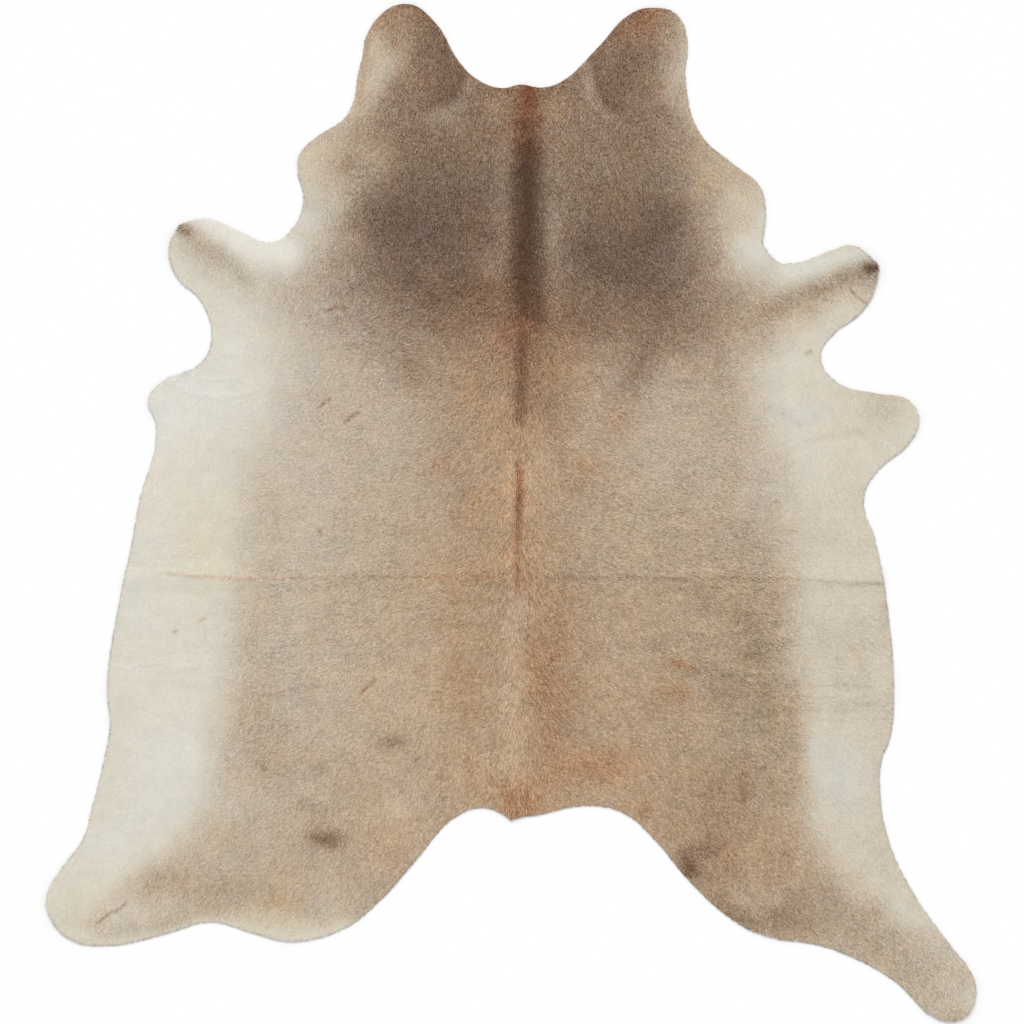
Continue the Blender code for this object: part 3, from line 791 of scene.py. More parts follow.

# %% [markdown]
# ## Strokes
# The stripe down the spine, the dark lines on the forelegs, scars, scratches and creases are
# longer than they are wide. Each is a line with a soft half width. The dark lines on creases,
# folds and wrinkles are painted shade, partly also the darker roots where the hair parts, and
# one light line is a painted highlight on a crease's ridge.

# %% Strokes
# place, the line's columns and rows, half width, colour, strength
STROKES = (
    ("warm back", ((514, 350), (514, 500), (514, 800)), 64, "peach", 0.60),
    ("left foreleg's upper side", ((186, 218), (214, 224), (250, 245), (286, 252)), 17, "chalk", 0.92),
    ("left foreleg", ((190, 234), (210, 251), (228, 264), (248, 280)), 12, "taupe", 0.42),
    ("left foreleg's root", ((280, 288), (330, 310)), 20, "taupe", 0.12),
    ("left foreleg's tip", ((178, 226), (186, 231)), 6, "umber", 0.70),
    ("right foreleg's upper side", ((860, 252), (830, 260), (790, 272)), 10, "milk white", 0.6),
    ("right foreleg", ((868, 274), (846, 280), (815, 293), (790, 302), (766, 314)), 12, "taupe", 0.78),
    ("right foreleg's low side", ((870, 296), (840, 300), (800, 318)), 10, "tan", 0.35),
    ("right foreleg's root", ((800, 306), (740, 318)), 20, "tan", 0.35),
    ("right foreleg's tip", ((880, 267), (868, 269)), 5.5, "bark", 0.70),
    # painted shade in a fold of the right foreleg
    ("fold on the right foreleg", ((850, 289), (857, 297), (866, 304)), 1.3, "umber", 0.50),
    ("left cheek's inner rim", ((416, 8), (430, 24), (440, 46), (452, 66)), 14, "umber", 0.70),
    ("right cheek's inner rim", ((640, 8), (622, 24), (608, 40), (596, 56)), 9, "umber", 0.60),
    ("rim of the left cheek", ((360, 104), (364, 50), (380, 14), (400, 5)), 5, "fox", 0.30),
    ("rim right of the neck", ((688, 104), (716, 148), (742, 174), (752, 184)), 6, "tan", 0.45),
    ("rim left of the neck", ((352, 114), (330, 130), (304, 150)), 5, "tan", 0.35),
    ("left lobe's edge", ((464, 66), (454, 86), (440, 101), (424, 106)), 6, "umber", 0.55),
    ("right lobe's edge", ((591, 60), (599, 86), (611, 104), (624, 112)), 6, "umber", 0.60),
    ("outside the left lobe", ((470, 84), (464, 98), (453, 110), (438, 116)), 5, "rose taupe", 0.20),
    ("left lobe's dark rim", ((462, 74), (457, 90), (449, 99), (434, 103)), 3.8, "charcoal", 0.38),
    ("outside the right lobe", ((586, 66), (591, 92), (599, 108), (612, 119)), 6, "rose taupe", 0.42),
    ("right lobe's dark rim", ((595, 62), (599, 84), (607, 100), (619, 109)), 3.8, "charcoal", 0.38),
    ("nape", ((529, 84), (527, 112)), 6, "russet", 0.75),
    ("nape's flanks", ((529, 84), (526, 140)), 20, "fox", 0.38),
    ("stripe's start", ((527, 106), (527, 150)), 11, "russet", 0.66),
    ("nape's root", ((531, 80), (530, 98)), 8, "bark", 0.38),
    ("nape's warm root", ((529, 82), (529, 100)), 9, "rust", 0.50),
    ("nape's foot", ((528, 108), (528, 122)), 10, "bark", 0.17),
    ("stripe's start, left side", ((519, 122), (517, 150)), 5, "bark", 0.28),
    ("stripe's start, dark", ((528, 122), (527, 150)), 8, "bark", 0.40),
    ("stripe over the neck", ((525, 156), (524, 200), (522, 258)), 11, "bark", 0.78),
    ("stripe's left side", ((516, 170), (515, 220), (515, 260)), 7, "bark", 0.42),
    ("stripe's core", ((529, 172), (529, 238), (528, 262)), 6, "soot", 0.45),
    ("stripe's spot", ((521, 246), (521.5, 247)), 2.6, "soot", 0.85),
    # painted shade in a small crease beside the stripe's spot
    ("wrinkle beside the spot", ((527, 247), (536, 249), (548, 247)), 1.3, "umber", 0.45),
    ("stripe's right side", ((534, 150), (536, 240), (538, 300), (539, 318)), 10, "bark", 0.58),
    ("stripe at the withers", ((522, 276), (525, 314)), 15, "bark", 0.90),
    ("patch behind the withers", ((522, 328), (522, 342)), 24, "russet", 0.60),
    ("stripe behind the withers", ((523, 336), (522, 404)), 11, "russet", 0.46),
    ("its dark line", ((521.5, 336), (522, 372), (520.5, 420)), 5.4, "bark", 0.46),
    ("shade at the stripe's end", ((536, 346), (546, 410)), 26, "umber", 0.36),
    ("left shade at its end", ((490, 340), (494, 392)), 26, "umber", 0.16),
    ("halo on the back", ((519, 420), (518, 470), (517, 560)), 14, "fox", 0.16),
    ("light left of the line", ((508, 464), (508, 514)), 5.5, "apricot", 0.62),
    ("light right of the line", ((528, 466), (528, 512)), 5, "apricot", 0.40),
    ("light left of the loin's line", ((511, 550), (511, 592)), 4.5, "apricot", 0.42),
    ("line on the back", ((518, 464), (519, 496), (518, 540)), 3.4, "fox", 0.75),
    ("line on the back, right side", ((520.5, 474), (521.5, 500), (519, 512)), 3.8, "russet", 0.40),
    ("its dark foot", ((520.5, 492), (517.5, 512)), 2, "bark", 0.24),
    ("line behind it", ((517.5, 514), (518.5, 544)), 2, "umber", 0.40),
    ("line's last dark place", ((518, 550), (518, 574)), 1.8, "umber", 0.36),
    ("shade at the crease", ((484, 578), (526, 580)), 12, "umber", 0.20),
    ("shade along the back", ((520, 500), (519, 552)), 6, "umber", 0.16),
    ("line on the loin", ((518, 540), (517, 560), (518, 594)), 2.6, "fox", 0.55),
    ("pale band to the tail", ((511, 610), (511, 700), (513, 780)), 9, "tan", 0.50),
    ("brown beside the pale band", ((540, 640), (546, 700), (552, 770)), 16, "fox", 0.22),
    ("tail", ((516, 795), (520, 820)), 18, "fox", 0.45),
    ("scar on the left shoulder", ((325, 312), (335, 308), (346, 309)), 1.6, "umber", 0.60),
    ("scar beside it", ((306, 317), (317, 314)), 1.5, "umber", 0.35),
    ("scratch behind the elbow", ((318, 408), (330, 398)), 1.5, "umber", 0.45),
    ("scratch beside it", ((345, 422), (358, 412)), 1.5, "umber", 0.40),
    ("red scratch", ((362, 692), (375, 680)), 1.5, "russet", 0.50),
    ("line on the left loin", ((262, 695), (345, 682)), 1.8, "taupe", 0.30),
    ("line on the left rump", ((300, 760), (320, 730)), 1.8, "taupe", 0.30),
    # painted shade in the folds at the right elbow
    ("fold at the right elbow", ((766, 402), (800, 424)), 4.0, "taupe", 0.12),
    ("second fold at the right elbow", ((806, 440), (860, 432)), 4.0, "taupe", 0.10),
    # painted shade in a wrinkle at the left hock
    ("wrinkle at the left hock", ((98, 923), (110, 913), (118, 911), (126, 903)), 1.3, "umber", 0.48),
    # painted shade in the fine folds of the right belly, partly the darker roots where the hair parts
    ("right belly's first fine fold", ((794, 683), (814, 686), (842, 685), (878, 688)), 1.8, "taupe", 0.12),
    ("right belly's second fine fold", ((790, 702), (822, 705), (856, 704), (888, 702)), 2.2, "taupe", 0.17),
    ("right belly's third fine fold", ((798, 709), (832, 712), (862, 710), (890, 712)), 1.8, "taupe", 0.13),
    ("right belly's fourth fine fold", ((812, 718), (840, 721), (886, 719)), 1.8, "taupe", 0.09),
    # painted highlight on the ridge of a crease on the right flank
    ("right flank's light crease", ((752, 671), (793, 673), (812, 683)), 1.3, "sand", 0.40),
    # painted shade along the storage crease, partly the darker roots where the hair parts
    ("crease, far left", ((168, 574), (200, 577), (250, 579)), 1.8, "fox", 0.22),
    ("crease, left", ((250, 579), (340, 577), (500, 577)), 1.6, "fox", 0.22),
    ("crease, right", ((520, 578), (600, 578), (720, 578), (800, 580), (884, 584)), 1.7, "umber", 0.24),
    ("left hind leg's rim", (
        (60, 930), (104, 944), (160, 938), (205, 924), (235, 926), (262, 936), (294, 941),
        (330, 934), (346, 926),
    ), 9, "cream", 0.80),
    ("right belly's outer rim", (
        (890, 600), (893, 690), (886, 760), (882, 810), (900, 870), (922, 905),
    ), 11, "sand", 0.45),
)
print(f"{len(STROKES)} strokes")

# %% [markdown]
# ## Laying the dye on
# No mark of an animal has a ruled edge, so every place is first shifted a little at random,
# and the marks get wavy edges from that. At the end the whole coat drifts between lighter and
# darker, warmer and cooler, more so where it is dark. A noise texture in the shader could
# add this drift, but here every hair takes one even colour from it.

# %% Dyeing the coat, with its painted shade
# for each: strength, size in squares, seed of the places
SHIFT_ACROSS = ((3, 55, 1), (2.5, 17, 2))
SHIFT_ALONG = ((3, 55, 3), (2.5, 17, 4))
LIGHT_PATCHES = ((0.016, 5, 5), (0.026, 12, 6))
WARM_PATCHES = ((0.011, 9, 7), (0.010, 26, 8))
RIPPLE_SHADE = 0.05
LESS_BLUE_WHERE_WARM = 1.4
DEEP_BELOW_WHITE = 110
DEEP_CURVE = 1.3
LEAST_DRIFT = 0.15
EDGE_FADE = 40
EDGE_SOFTNESS = 2.4
SPOT_REACH = 8
STROKE_REACH = 3

def patches(layers, column, row):
    """Soft patches of several sizes, one over the other."""
    return sum(strength * soft_noise(column, row, size, seed) for strength, size, seed in layers)

def dye_or_shade(coat, there, colour, share):
    """Takes the coat at these places towards a named colour, by this share: the coat's own colour, and
    painted shade for the crease and fold marks.
    """
    coat[there] += (np.array(COAT[colour]) - coat[there]) * share[:, None]

def drift(coat, column, row):
    """Light, dark, warm and cool patches that come and go all over the coat, and painted shade along the
    fine ripples.
    """
    deep = np.clip((255 - coat.mean(axis=1)) / DEEP_BELOW_WHITE, 0, 1) ** DEEP_CURVE
    # painted shade: the dark coat is also darkened and lightened along the fine ripples of the skin
    light = patches(LIGHT_PATCHES, column, row) + RIPPLE_SHADE * deep * ripple(column, row)
    warm = patches(WARM_PATCHES, column, row)
    tint = np.stack([light + warm, light, light - LESS_BLUE_WHERE_WARM * warm], axis=1)
    return coat * (1 + tint * (LEAST_DRIFT + deep[:, None]))

def coat_colours(column, row):
    """The coat's colour at places on the layout sheet, with the painted shade of its creases and folds."""
    x = column + patches(SHIFT_ACROSS, column, row)
    y = row + patches(SHIFT_ALONG, column, row)
    stops = [stop[0] for stop in BACK]
    shades = [np.interp(y, stops, [stop[1][part] for stop in BACK]) for part in range(3)]
    coat = np.stack(shades, axis=1)
    for _place, side, colour, strength, line in PALE_EDGES:
        rows, begins, softness = zip(*line)
        edge = np.interp(y, rows, begins)
        soft = np.interp(y, rows, softness)
        beside = smooth((y - rows[0]) / EDGE_FADE + 0.5) * smooth((rows[-1] - y) / EDGE_FADE + 0.5)
        share = strength * beside * smooth(0.5 + side * (x - edge) / (EDGE_SOFTNESS * soft))
        there = np.flatnonzero(share > 0)
        dye_or_shade(coat, there, colour, share[there])
    for _place, middle_x, middle_y, wide, tall, turn, colour, strength in SPOTS:
        across = (x - middle_x) * math.cos(turn) + (y - middle_y) * math.sin(turn)
        along = (y - middle_y) * math.cos(turn) - (x - middle_x) * math.sin(turn)
        away = (across / wide) ** 2 + (along / tall) ** 2
        there = np.flatnonzero(away < SPOT_REACH)
        dye_or_shade(coat, there, colour, strength * np.exp(-away[there]))
    for _place, line, width, colour, strength in STROKES:
        near = np.flatnonzero(near_line(column, row, line, STROKE_REACH * width))
        away = to_line(column[near], row[near], line) / width
        dye_or_shade(coat, near, colour, strength * np.exp(-(away**2)))
    return drift(coat, column, row)

middle_of_hide = coat_colours(np.array([MIDDLE_COLUMN]), np.array([MIDDLE_ROW]))[0]
print(f"the hide's middle is {middle_of_hide.round()} on the screen")

# %% [markdown]
# ## From screen colours to light
# The colours above are those that the finished hide should show. A coat's gloss adds a
# little light, the shade among the hairs takes some away, and light hairs throw light on
# each other. Three numbers, found by comparing renders with the named colours, make up
# for that.

# %% From screen colours to light
GLOSS = 0.024
SHADE = (1.125, 1.11, 1.085)
BOUNCE = 0.23
# no hair is quite black, and none throws back all light
OWN_LIMITS = (0.004, 0.86)

def to_light(screen):
    """The hair's own linear colour, for a coat seen with this screen colour from 0 to 255."""
    part = np.clip(screen, 0, 255) / 255
    # the curve that every sRGB screen has
    linear = np.where(part <= 0.04045, part / 12.92, ((part + 0.055) / 1.055) ** 2.4)
    own = (linear - GLOSS) * np.array(SHADE) * (1 - BOUNCE * linear**2)
    return np.clip(own, *OWN_LIMITS)

def coat_light(x, y):
    """The coat's linear colour at places in metres."""
    return to_light(coat_colours(*on_sheet(x, y)))

print(f"taupe hair is {to_light(np.array(COAT['taupe'])).round(2)} in linear light")

# %% [markdown]
# ## Which way the hair lies
# Hair lies towards the tail and away from the spine. On the neck it lies straight back, on the
# ribs it lies almost across, and on the rump and the legs it runs down again. On the spine
# itself it lies straight and fans out within a hand's width. Short locks go their own way a
# little, most of all on the hump, where the hair swirls.

# %% Direction of the hair
# row of the layout sheet, degrees that the hair leans away from straight back there
FAN = (
    (0, 8), (180, 14), (280, 40), (340, 50), (400, 58), (480, 72), (600, 70), (660, 62),
    (720, 52), (780, 46), (840, 40), (1020, 38),
)

# all in metres
FAN_OPENS = 0.09
STRAIGHT_ON_SPINE = 0.05
WITHERS_Y = 0.20
HUMP_RUN = 0.25
FORELEG_X = 0.62
FORELEG_Y = 0.35
FORELEG_RUN = 0.25
ELBOW_X = 0.50
ELBOW_Y = 0.10
ELBOW_HALF_LENGTH = 0.34
LEG_FADE = 0.2
FORELEG_TURN = math.radians(28)
ELBOW_TURN_BACK = 0.6
# radians on the back, how much more on the hump, size in squares, seed
SWIRLS = ((0.30, 0.35, 60, 11), (0.22, 0.25, 14, 12))

def in_front(y):
    """0 behind the withers, 1 on the hump and the neck."""
    return smooth((y - WITHERS_Y) / HUMP_RUN)

def hair_angle(x, y):
    """The angle of the hair from straight back, to the right."""
    column, row = on_sheet(x, y)
    beside = x - spine_x(y)
    fan = np.radians(np.interp(row, [stop[0] for stop in FAN], [stop[1] for stop in FAN]))
    fan *= np.tanh(beside / FAN_OPENS)
    foreleg = smooth((np.abs(x) - FORELEG_X) / FORELEG_RUN) * smooth((y - FORELEG_Y) / LEG_FADE)
    fan += np.sign(beside) * FORELEG_TURN * foreleg
    elbow = smooth((np.abs(x) - ELBOW_X) / LEG_FADE) * bump(y - ELBOW_Y, ELBOW_HALF_LENGTH)
    fan *= 1 - ELBOW_TURN_BACK * elbow
    swirl = sum(
        (back + more * in_front(y)) * soft_noise(column, row, size, seed)
        for back, more, size, seed in SWIRLS
    )
    return fan + swirl * smooth(np.abs(beside) / STRAIGHT_ON_SPINE)

flank_angle = hair_angle(np.array([0.4]), np.array([0.0]))[0]
print(f"on the right flank the hair leans out by {math.degrees(flank_angle):.0f} degrees")

# %% [markdown]
# ## The hair
# The coat is short and dense. Each strand here stands for a lock of hairs that lie together:
# one thin blade, wide at the root and pointed at the tip, pressed almost flat. They are
# strewn over the ground's squares, and each takes its colour from the marks above, with its
# own chance shade. Blender's own hair curves would look finer from close up, but meshes can
# be handed on to any program. One array per band of the hide makes all its strands at once.

# %% How far each point of the ground is from the cut line
cut_line = BVHTree.FromObject(curtain, bpy.context.evaluated_depsgraph_get())

def to_edge(x, y):
    """How far a place is from the cut line."""
    return cut_line.find_nearest(Vector((x, y, 0)))[3]

from_edge = np.array([to_edge(x, y) for x, y, _z in corners_of(ground.data)])
print(f"the coat's middle is {from_edge.max():.2f} m from the cut line")

# %% Strewing the strands
STRANDS = 850_000
BANDS = ("neck", "shoulders", "back", "loins", "legs")
rng = np.random.default_rng(20)

def strewn(sheet, count):
    """Chance places all over a sheet of squares, and how far each is from the cut line."""
    corners = corners_of(sheet.data)[:, :2]
    squares = np.array([face.vertices[:] for face in sheet.data.polygons])
    a, b, c, d = (corners[squares[:, side]] for side in range(4))
    diagonal_1 = c - a
    diagonal_2 = d - b
    areas = np.abs(diagonal_1[:, 0] * diagonal_2[:, 1] - diagonal_1[:, 1] * diagonal_2[:, 0]) / 2
    chosen = rng.choice(len(squares), count, p=areas / areas.sum())
    s, t = rng.random((2, count, 1))
    side_1 = a[chosen] * (1 - s) + b[chosen] * s
    side_2 = d[chosen] * (1 - s) + c[chosen] * s
    places = side_1 * (1 - t) + side_2 * t
    return np.column_stack([places, from_edge[squares].min(axis=1)[chosen]])

roots = strewn(ground, STRANDS)
roots = roots[np.argsort(roots[:, 1])[::-1]]
print(f"{STRANDS} strands on {HIDE_WIDTH * HIDE_LENGTH:.1f} square metres of board")

# %% [markdown]
# ## Meshes from arrays
# To add hundreds of thousands of strands one by one would take hours, so each band's mesh is
# filled straight from arrays of points, faces and colours.

# %% Filling, colouring and mapping a mesh
def fill_mesh(name, points, faces):
    """A mesh object from arrays of points and three-cornered faces."""
    mesh = bpy.data.meshes.new(name)
    mesh.vertices.add(len(points))
    mesh.vertices.foreach_set("co", points.astype(np.float32).ravel())
    mesh.loops.add(faces.size)
    mesh.loops.foreach_set("vertex_index", faces.astype(np.int32).ravel())
    mesh.polygons.add(len(faces))
    mesh.polygons.foreach_set("loop_start", np.arange(0, faces.size, 3, dtype=np.int32))
    mesh.update(calc_edges=True)
    piece = bpy.data.objects.new(name, mesh)
    bpy.context.scene.collection.objects.link(piece)
    return piece

def paint(piece, colours):
    """Keeps a colour for each point of the piece."""
    layer = piece.data.attributes.new("coat_colour", "FLOAT_COLOR", "POINT")
    solid = np.concatenate([colours, np.ones((len(colours), 1))], axis=1)
    layer.data.foreach_set("color", solid.astype(np.float32).ravel())

def lay_map(piece):
    """A map seen from above, which fills its square, for baking."""
    mesh = piece.data
    places = corners_of(mesh)[:, :2]
    low = places.min(axis=0)
    size = places.max(axis=0) - low
    order = np.empty(len(mesh.loops), np.int32)
    mesh.loops.foreach_get("vertex_index", order)
    while mesh.uv_layers:
        mesh.uv_layers.remove(mesh.uv_layers[0])
    flat = mesh.uv_layers.new(name="OFBake")
    flat.data.foreach_set("uv", ((places[order] - low) / size).astype(np.float32).ravel())

# %% [markdown]
# ## The rim
# The knife that cuts the hide cuts the hair with it, so no strand may hang far over the edge.
# Cut ends show no sunlit tips, so a grey painted shade lies along the rim
# for the hair ends that turn down over the cut, out of the light.

# %% Trimming, and painted shade at the cut line
TRIM = 1.2 * MM
LONGEST = 20 * MM

def trim(tips, edge_gap):
    """Tips that would hang over the cut line are cut off just outside it."""
    for index in np.flatnonzero(edge_gap < LONGEST):
        x, y = tips[index]
        if is_over_hide(x, y):
            continue
        on_line = cut_line.find_nearest(Vector((x, y, 0)))[0]
        outward = Vector((x, y)) - on_line.xy
        tips[index] = on_line.xy + outward * min(1, TRIM / max(outward.length, 1e-6))

# painted shade: strands at the rim are taken towards this grey, for hair ends turned down out of the light
RIM_SHADE_GREY = (138, 136, 144)
RIM_WIDTH = 5 * MM
RIM_SHADE_SHARE = 0.5

def painted_rim_shade(middles, edge_gap):
    """How much painted rim shade a strand gets: 1 on the cut line, 0 a rim's width inside it."""
    away = np.full(len(middles), RIM_WIDTH)
    for index in np.flatnonzero(edge_gap < LONGEST):
        away[index] = to_edge(*middles[index])
    return bump(away, RIM_WIDTH)

def strand_colours(middle, edge_gap):
    """The screen colours of strands with these middles, greyed with painted shade at the rim."""
    screen = coat_colours(*on_sheet(middle[:, 0], middle[:, 1]))
    return screen + (np.array(RIM_SHADE_GREY) - screen) * (RIM_SHADE_SHARE * painted_rim_shade(middle, edge_gap))[:, None]

# %% [markdown]
# ## Strand by strand
# No two hairs are alike. Each strand gets a chance angle, length, width and roll, and a chance
# shade. Dark hair differs more from strand to strand than pale hair, whose shadows are
# filled with light. Along the spine of the loins the hair is nearly twice as long. Each
# strand is darker at its root than at its tip, as it lies in the shade of the others there.

# %% Making one band of hair
# in mm: the usual length and its spread, its limits, the width's limits, the tip's height
HAIR_LENGTH = (6.8, 1.4)
LENGTH_LIMITS = (3.5, 11)
HAIR_WIDTH = (1.0, 1.6)
TIP_ABOVE = 0.9
ANGLE_SPREAD = 0.36
ROLL_SPREAD = 0.32
LONG_ON_LOINS = 0.8
LOINS_HALF_WIDTH = 0.11
LOINS_Y = -0.02
LOINS_RUN = 0.12
DARK_BELOW_WHITE = 155
ROOT_ABOVE = 0.25 * MM
# how much strands differ in lightness, for four darknesses of the coat
DARKNESSES = (0.2, 0.35, 0.65, 1.0)
SHADE_SPREAD = (0.03, 0.07, 0.39, 0.74)
CHANCE_LIMITS = (-1.5, 1.8)
COLOUR_LIMITS = (0.003, 0.9)
# each for pale hair, and how much more for black hair
GREYNESS = (0.40, 0.35)
SHADED_ROOTS = (0.01, 0.13)
# a pale strand lies flatter than a dark one: its share of a dark one's chance
PALE_ROLL = 0.1
PALE_TIPS = 0.15
TIP_CHANCE = (-0.5, 0.7)

def strand_tones(light, darkness):
    """The colours of each strand's three corners, with a chance shade."""
    spread = np.interp(darkness, DARKNESSES, SHADE_SPREAD)
    chance = (spread * np.clip(rng.normal(0, 1, len(light)), *CHANCE_LIMITS))[:, None]
    grey = (GREYNESS[0] + GREYNESS[1] * darkness)[:, None]
    greyer = (1 - grey) * light + grey * light.mean(axis=1, keepdims=True)
    colours = np.clip(light + chance * greyer, *COLOUR_LIMITS)
    deep = SHADED_ROOTS[0] + SHADED_ROOTS[1] * darkness[:, None]
    tones = [colours * (1 - deep), colours * (1 + deep / 2), colours * (1 - deep)]
    return np.stack(tones, axis=1).reshape(-1, 3)

def hair_band(name, strewn_roots):
    """The strands that grow from these roots."""
    root = strewn_roots[:, :2]
    edge_gap = strewn_roots[:, 2]
    count = len(root)
    x = root[:, 0]
    y = root[:, 1]
    angle = hair_angle(x, y) + rng.normal(0, ANGLE_SPREAD, count) * (1 + 0.5 * in_front(y))
    length = np.clip(rng.normal(*HAIR_LENGTH, count), *LENGTH_LIMITS) * MM
    on_loins = bump(x - spine_x(y), LOINS_HALF_WIDTH) * smooth((LOINS_Y - y) / LOINS_RUN)
    length *= 1 + LONG_ON_LOINS * on_loins
    forward = np.stack([np.sin(angle), -np.cos(angle)], axis=1)
    screen = strand_colours(root + forward * length[:, None] / 2, edge_gap)
    darkness = np.clip((255 - screen.mean(axis=1)) / DARK_BELOW_WHITE, 0, 1)
    width = rng.uniform(*HAIR_WIDTH, count) * MM
    roll = rng.normal(0, ROLL_SPREAD, count) * (PALE_ROLL + (1 - PALE_ROLL) * darkness)
    left = np.stack([-forward[:, 1], forward[:, 0]], axis=1)
    tip = root + forward * length[:, None]
    trim(tip, edge_gap)
    blade = np.empty((count, 3, 3))
    half = width / 2 * np.cos(roll)
    rise = width / 2 * np.sin(roll)
    base = skin_top(x, y) + ROOT_ABOVE
    blade[:, 0, :2] = root - left * half[:, None]
    blade[:, 1, :2] = tip
    blade[:, 2, :2] = root + left * half[:, None]
    blade[:, 0, 2] = base + np.abs(rise) - rise
    uneven = PALE_TIPS + (1 - PALE_TIPS) * darkness
    tip_above = TIP_ABOVE + rng.uniform(*TIP_CHANCE, count) * uneven
    blade[:, 1, 2] = skin_top(tip[:, 0], tip[:, 1]) + tip_above * MM
    blade[:, 2, 2] = base + np.abs(rise) + rise
    faces = np.arange(count * 3).reshape(count, 3)
    piece = fill_mesh(name, blade.reshape(-1, 3), faces)
    paint(piece, strand_tones(to_light(screen), darkness))
    lay_map(piece)
    return piece

hair = []
for band, root in zip(BANDS, np.array_split(roots, len(BANDS))):
    hair.append(hair_band(f"coat_hair_{band}", root))
    print(f"{hair[-1].name}: {len(hair[-1].data.polygons)} strands")

# %% Colour and map of the ground
ROOT_SHADE = 0.78
LIGHT_BETWEEN_HAIRS = 0.25
places = corners_of(ground.data)
own_light = coat_light(places[:, 0], places[:, 1])
# painted shade: the ground is darker than the hair above it, for the shade between the hairs, less so under
# pale hair
paint(ground, own_light * (ROOT_SHADE + LIGHT_BETWEEN_HAIRS * own_light))
lay_map(ground)
print(f"the ground's lightest corner is {own_light.max():.2f}, its darkest {own_light.min():.2f}")

# %% [markdown]
# ## Writing shaders as sums
# A material is a net of nodes. Here a small class wraps a node's output, so that 1 - mask
# or noise * 0.2 adds the Math node by itself. One method adds any other node, and a few short
# ones name those that are used more than once.

# %% Sums that turn into nodes
class Wire:
    """A node's output that can be used in a sum."""

    def __init__(self, paint_box, socket):
        self.paint_box = paint_box
        self.socket = socket

    def sum(self, operation, first, second):
        return self.paint_box.node("ShaderNodeMath", {"operation": operation}, {0: first, 1: second})

    def __add__(self, other):
        return self.sum("ADD", self, other)

    def __radd__(self, other):
        return self.sum("ADD", other, self)

    def __sub__(self, other):
        return self.sum("SUBTRACT", self, other)

    def __rsub__(self, other):
        return self.sum("SUBTRACT", other, self)

    def __mul__(self, other):
        return self.sum("MULTIPLY", self, other)

    def __rmul__(self, other):
        return self.sum("MULTIPLY", other, self)

class PaintBox:
    """A new material and the nodes in it."""

    def __init__(self, name):
        self.material = bpy.data.materials.new(name)
        self.material.use_nodes = True
        self.tree = self.material.node_tree
        self.tree.nodes.clear()

    def node(self, kind, settings=None, sockets=None, output=0):
        """Adds a node, sets it, fills its sockets and gives the output that is asked for."""
        made = self.tree.nodes.new(kind)
        for setting, value in (settings or {}).items():
            setattr(made, setting, value)
        for socket, value in (sockets or {}).items():
            if isinstance(value, Wire):
                self.tree.links.new(value.socket, made.inputs[socket])
            else:
                made.inputs[socket].default_value = value
        return Wire(self, made.outputs[output])

    def mix(self, share, first, second):
        """A mix of two colours."""
        sockets = {0: share, 6: first, 7: second}
        return self.node("ShaderNodeMix", {"data_type": "RGBA"}, sockets, output=2)

    def coat_colour(self):
        """The colour that a piece keeps in its points."""
        return self.node("ShaderNodeAttribute", {"attribute_name": "coat_colour"}, None, output="Color")

    def noise(self, scale, detail):
        """Noise in the piece's own space, with so many patches to a metre."""
        place = self.node("ShaderNodeTexCoord", None, None, output="Object")
        return self.node("ShaderNodeTexNoise", None, {"Vector": place, "Scale": scale, "Detail": detail})

    def relief(self, height, strength, distance):
        """A bump from a height."""
        sockets = {"Height": height, "Strength": strength, "Distance": distance}
        return self.node("ShaderNodeBump", None, sockets)

    def finish(self, sockets):
        """Ends in a Principled shader with these sockets."""
        surface = self.node("ShaderNodeBsdfPrincipled", None, sockets)
        end = self.tree.nodes.new("ShaderNodeOutputMaterial")
        self.tree.links.new(surface.socket, end.inputs["Surface"])
        return self.material

# %% [markdown]
# ## The materials
# Hair has a soft satin sheen. Each strand carries its colour in its points, and the material
# reads it. A lock is made of single hairs, some lit and some in shade, so a speckle finer
# than a strand makes the colour lighter and darker, most of all on dark hair. The ground reads
# its colour too, and gets a fine grain as a bump.

# %% Hair
SPECKLES_TO_A_METRE = 340
SPECKLE = 3.0
SPECKLE_AT_BLACK = 1.2
SPECKLE_FADES = 1.96
box = PaintBox("cowhide_hair")
own = box.coat_colour()
grain = box.noise(SPECKLES_TO_A_METRE, 1)
lightness = box.node("ShaderNodeRGBToBW", None, {0: own})
darkness = box.node("ShaderNodeClamp", None, {0: SPECKLE_AT_BLACK - SPECKLE_FADES * lightness})
speckle = 1 + (grain - 0.5) * darkness * SPECKLE
speckled = box.node("ShaderNodeVectorMath", {"operation": "SCALE"}, {0: own, 3: speckle})
hair_finish = box.finish({"Base Color": speckled, "Roughness": 0.62, "Specular IOR Level": 0.35})
print(f"{hair_finish.name}: {len(box.tree.nodes)} nodes")

# %% Ground
box = PaintBox("cowhide_ground")
own = box.coat_colour()
grain = box.noise(420, 3)
nap = box.relief(grain, 0.5, 0.8 * MM)
ground_finish = box.finish({"Base Color": own, "Roughness": grain * 0.2 + 0.65, "Normal": nap})
print(f"{ground_finish.name}: {len(box.tree.nodes)} nodes")

# %% [markdown]
# ## The flesh side
# The underside of a tanned hide is suede: pale, matt and a little blotchy, with a fine nap.

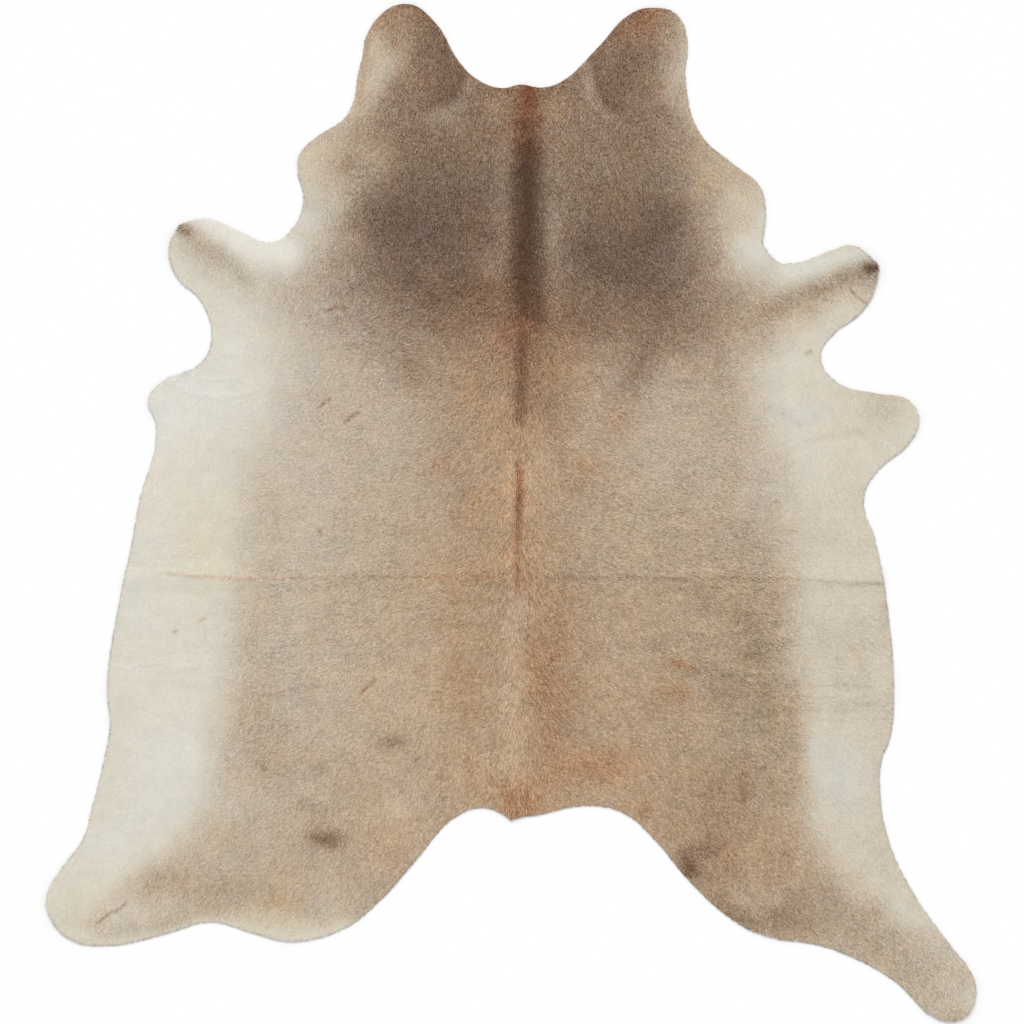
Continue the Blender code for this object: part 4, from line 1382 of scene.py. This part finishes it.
# %% Suede
SUEDE_DIM = (0.52, 0.43, 0.32, 1)
SUEDE_LIGHT = (0.72, 0.64, 0.52, 1)
SUEDE_NAP = (0.40, 0.31, 0.22, 1)
box = PaintBox("suede")
blotch = box.noise(7, 5)
fluff = box.noise(600, 4)
tone = box.mix(fluff * 0.5, box.mix(blotch, SUEDE_DIM, SUEDE_LIGHT), SUEDE_NAP)
nap = box.relief(fluff, 0.6, 0.5 * MM)
suede = box.finish({"Base Color": tone, "Roughness": fluff * 0.15 + 0.8, "Normal": nap})
print(f"{suede.name}: {len(box.tree.nodes)} nodes")

# %% Dress the pieces
for piece in hair:
    piece.data.materials.append(hair_finish)
ground.data.materials.clear()
ground.data.materials.append(ground_finish)
leather.data.materials.clear()
leather.data.materials.append(suede)
bpy.data.objects.remove(curtain)
print(f"{len(hair)} bands of hair, the ground and the leather have their materials")

# %% [markdown]
# ## Floor and light
# The hide lies on a plain, almost white floor in soft light from all round. One wide, soft
# sun gives the folds their faint shading. Both are just strong enough to turn the floor
# white without bleaching the cream of the belly.

# %% Floor and light
FLOOR_SIZE = 40
UNDER_HIDE = 0.3 * MM
SUN_STRENGTH = 1.9
SUN_WIDTH = math.radians(40)
SUN_TURN = (math.radians(-34), math.radians(-4), 0)
ROOM_LIGHT = 0.745
bpy.ops.object.select_all(action="DESELECT")
bpy.ops.mesh.primitive_plane_add(size=FLOOR_SIZE, location=(0, 0, -UNDER_HIDE))
floor = bpy.context.object
floor.name = "floor"
box = PaintBox("pale_floor")
floor.data.materials.append(box.finish({"Base Color": (0.80, 0.80, 0.80, 1), "Roughness": 0.9}))

bpy.ops.object.light_add(type="SUN", location=(0, 2, 5), rotation=SUN_TURN)
sun = bpy.context.object
sun.data.energy = SUN_STRENGTH
sun.data.angle = SUN_WIDTH
world = bpy.data.worlds.new("studio")
bpy.context.scene.world = world
world.use_nodes = True
sky = world.node_tree.nodes["Background"]
sky.inputs["Color"].default_value = (1, 1, 1, 1)
sky.inputs["Strength"].default_value = ROOM_LIGHT
bpy.context.scene.view_settings.view_transform = "Standard"
print(f"sun {SUN_STRENGTH}, room {ROOM_LIGHT}")

# %% [markdown]
# All pieces ride on the one body, and the CAD part is hidden: the coat's ground and the
# leather take its place. The leather is cut from a skin of 2.1 by 2.29 m, and the coat goes with it.

# %% Bodies, and the CAD part hidden
for piece in [ground, *hair]:
    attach(piece, "root")
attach(leather, "root")
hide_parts("hide")
print(f"{len(hair) + 2} pieces ride on the one body")

# %% Print the CAD box and finish
print("CAD box", cad_box)
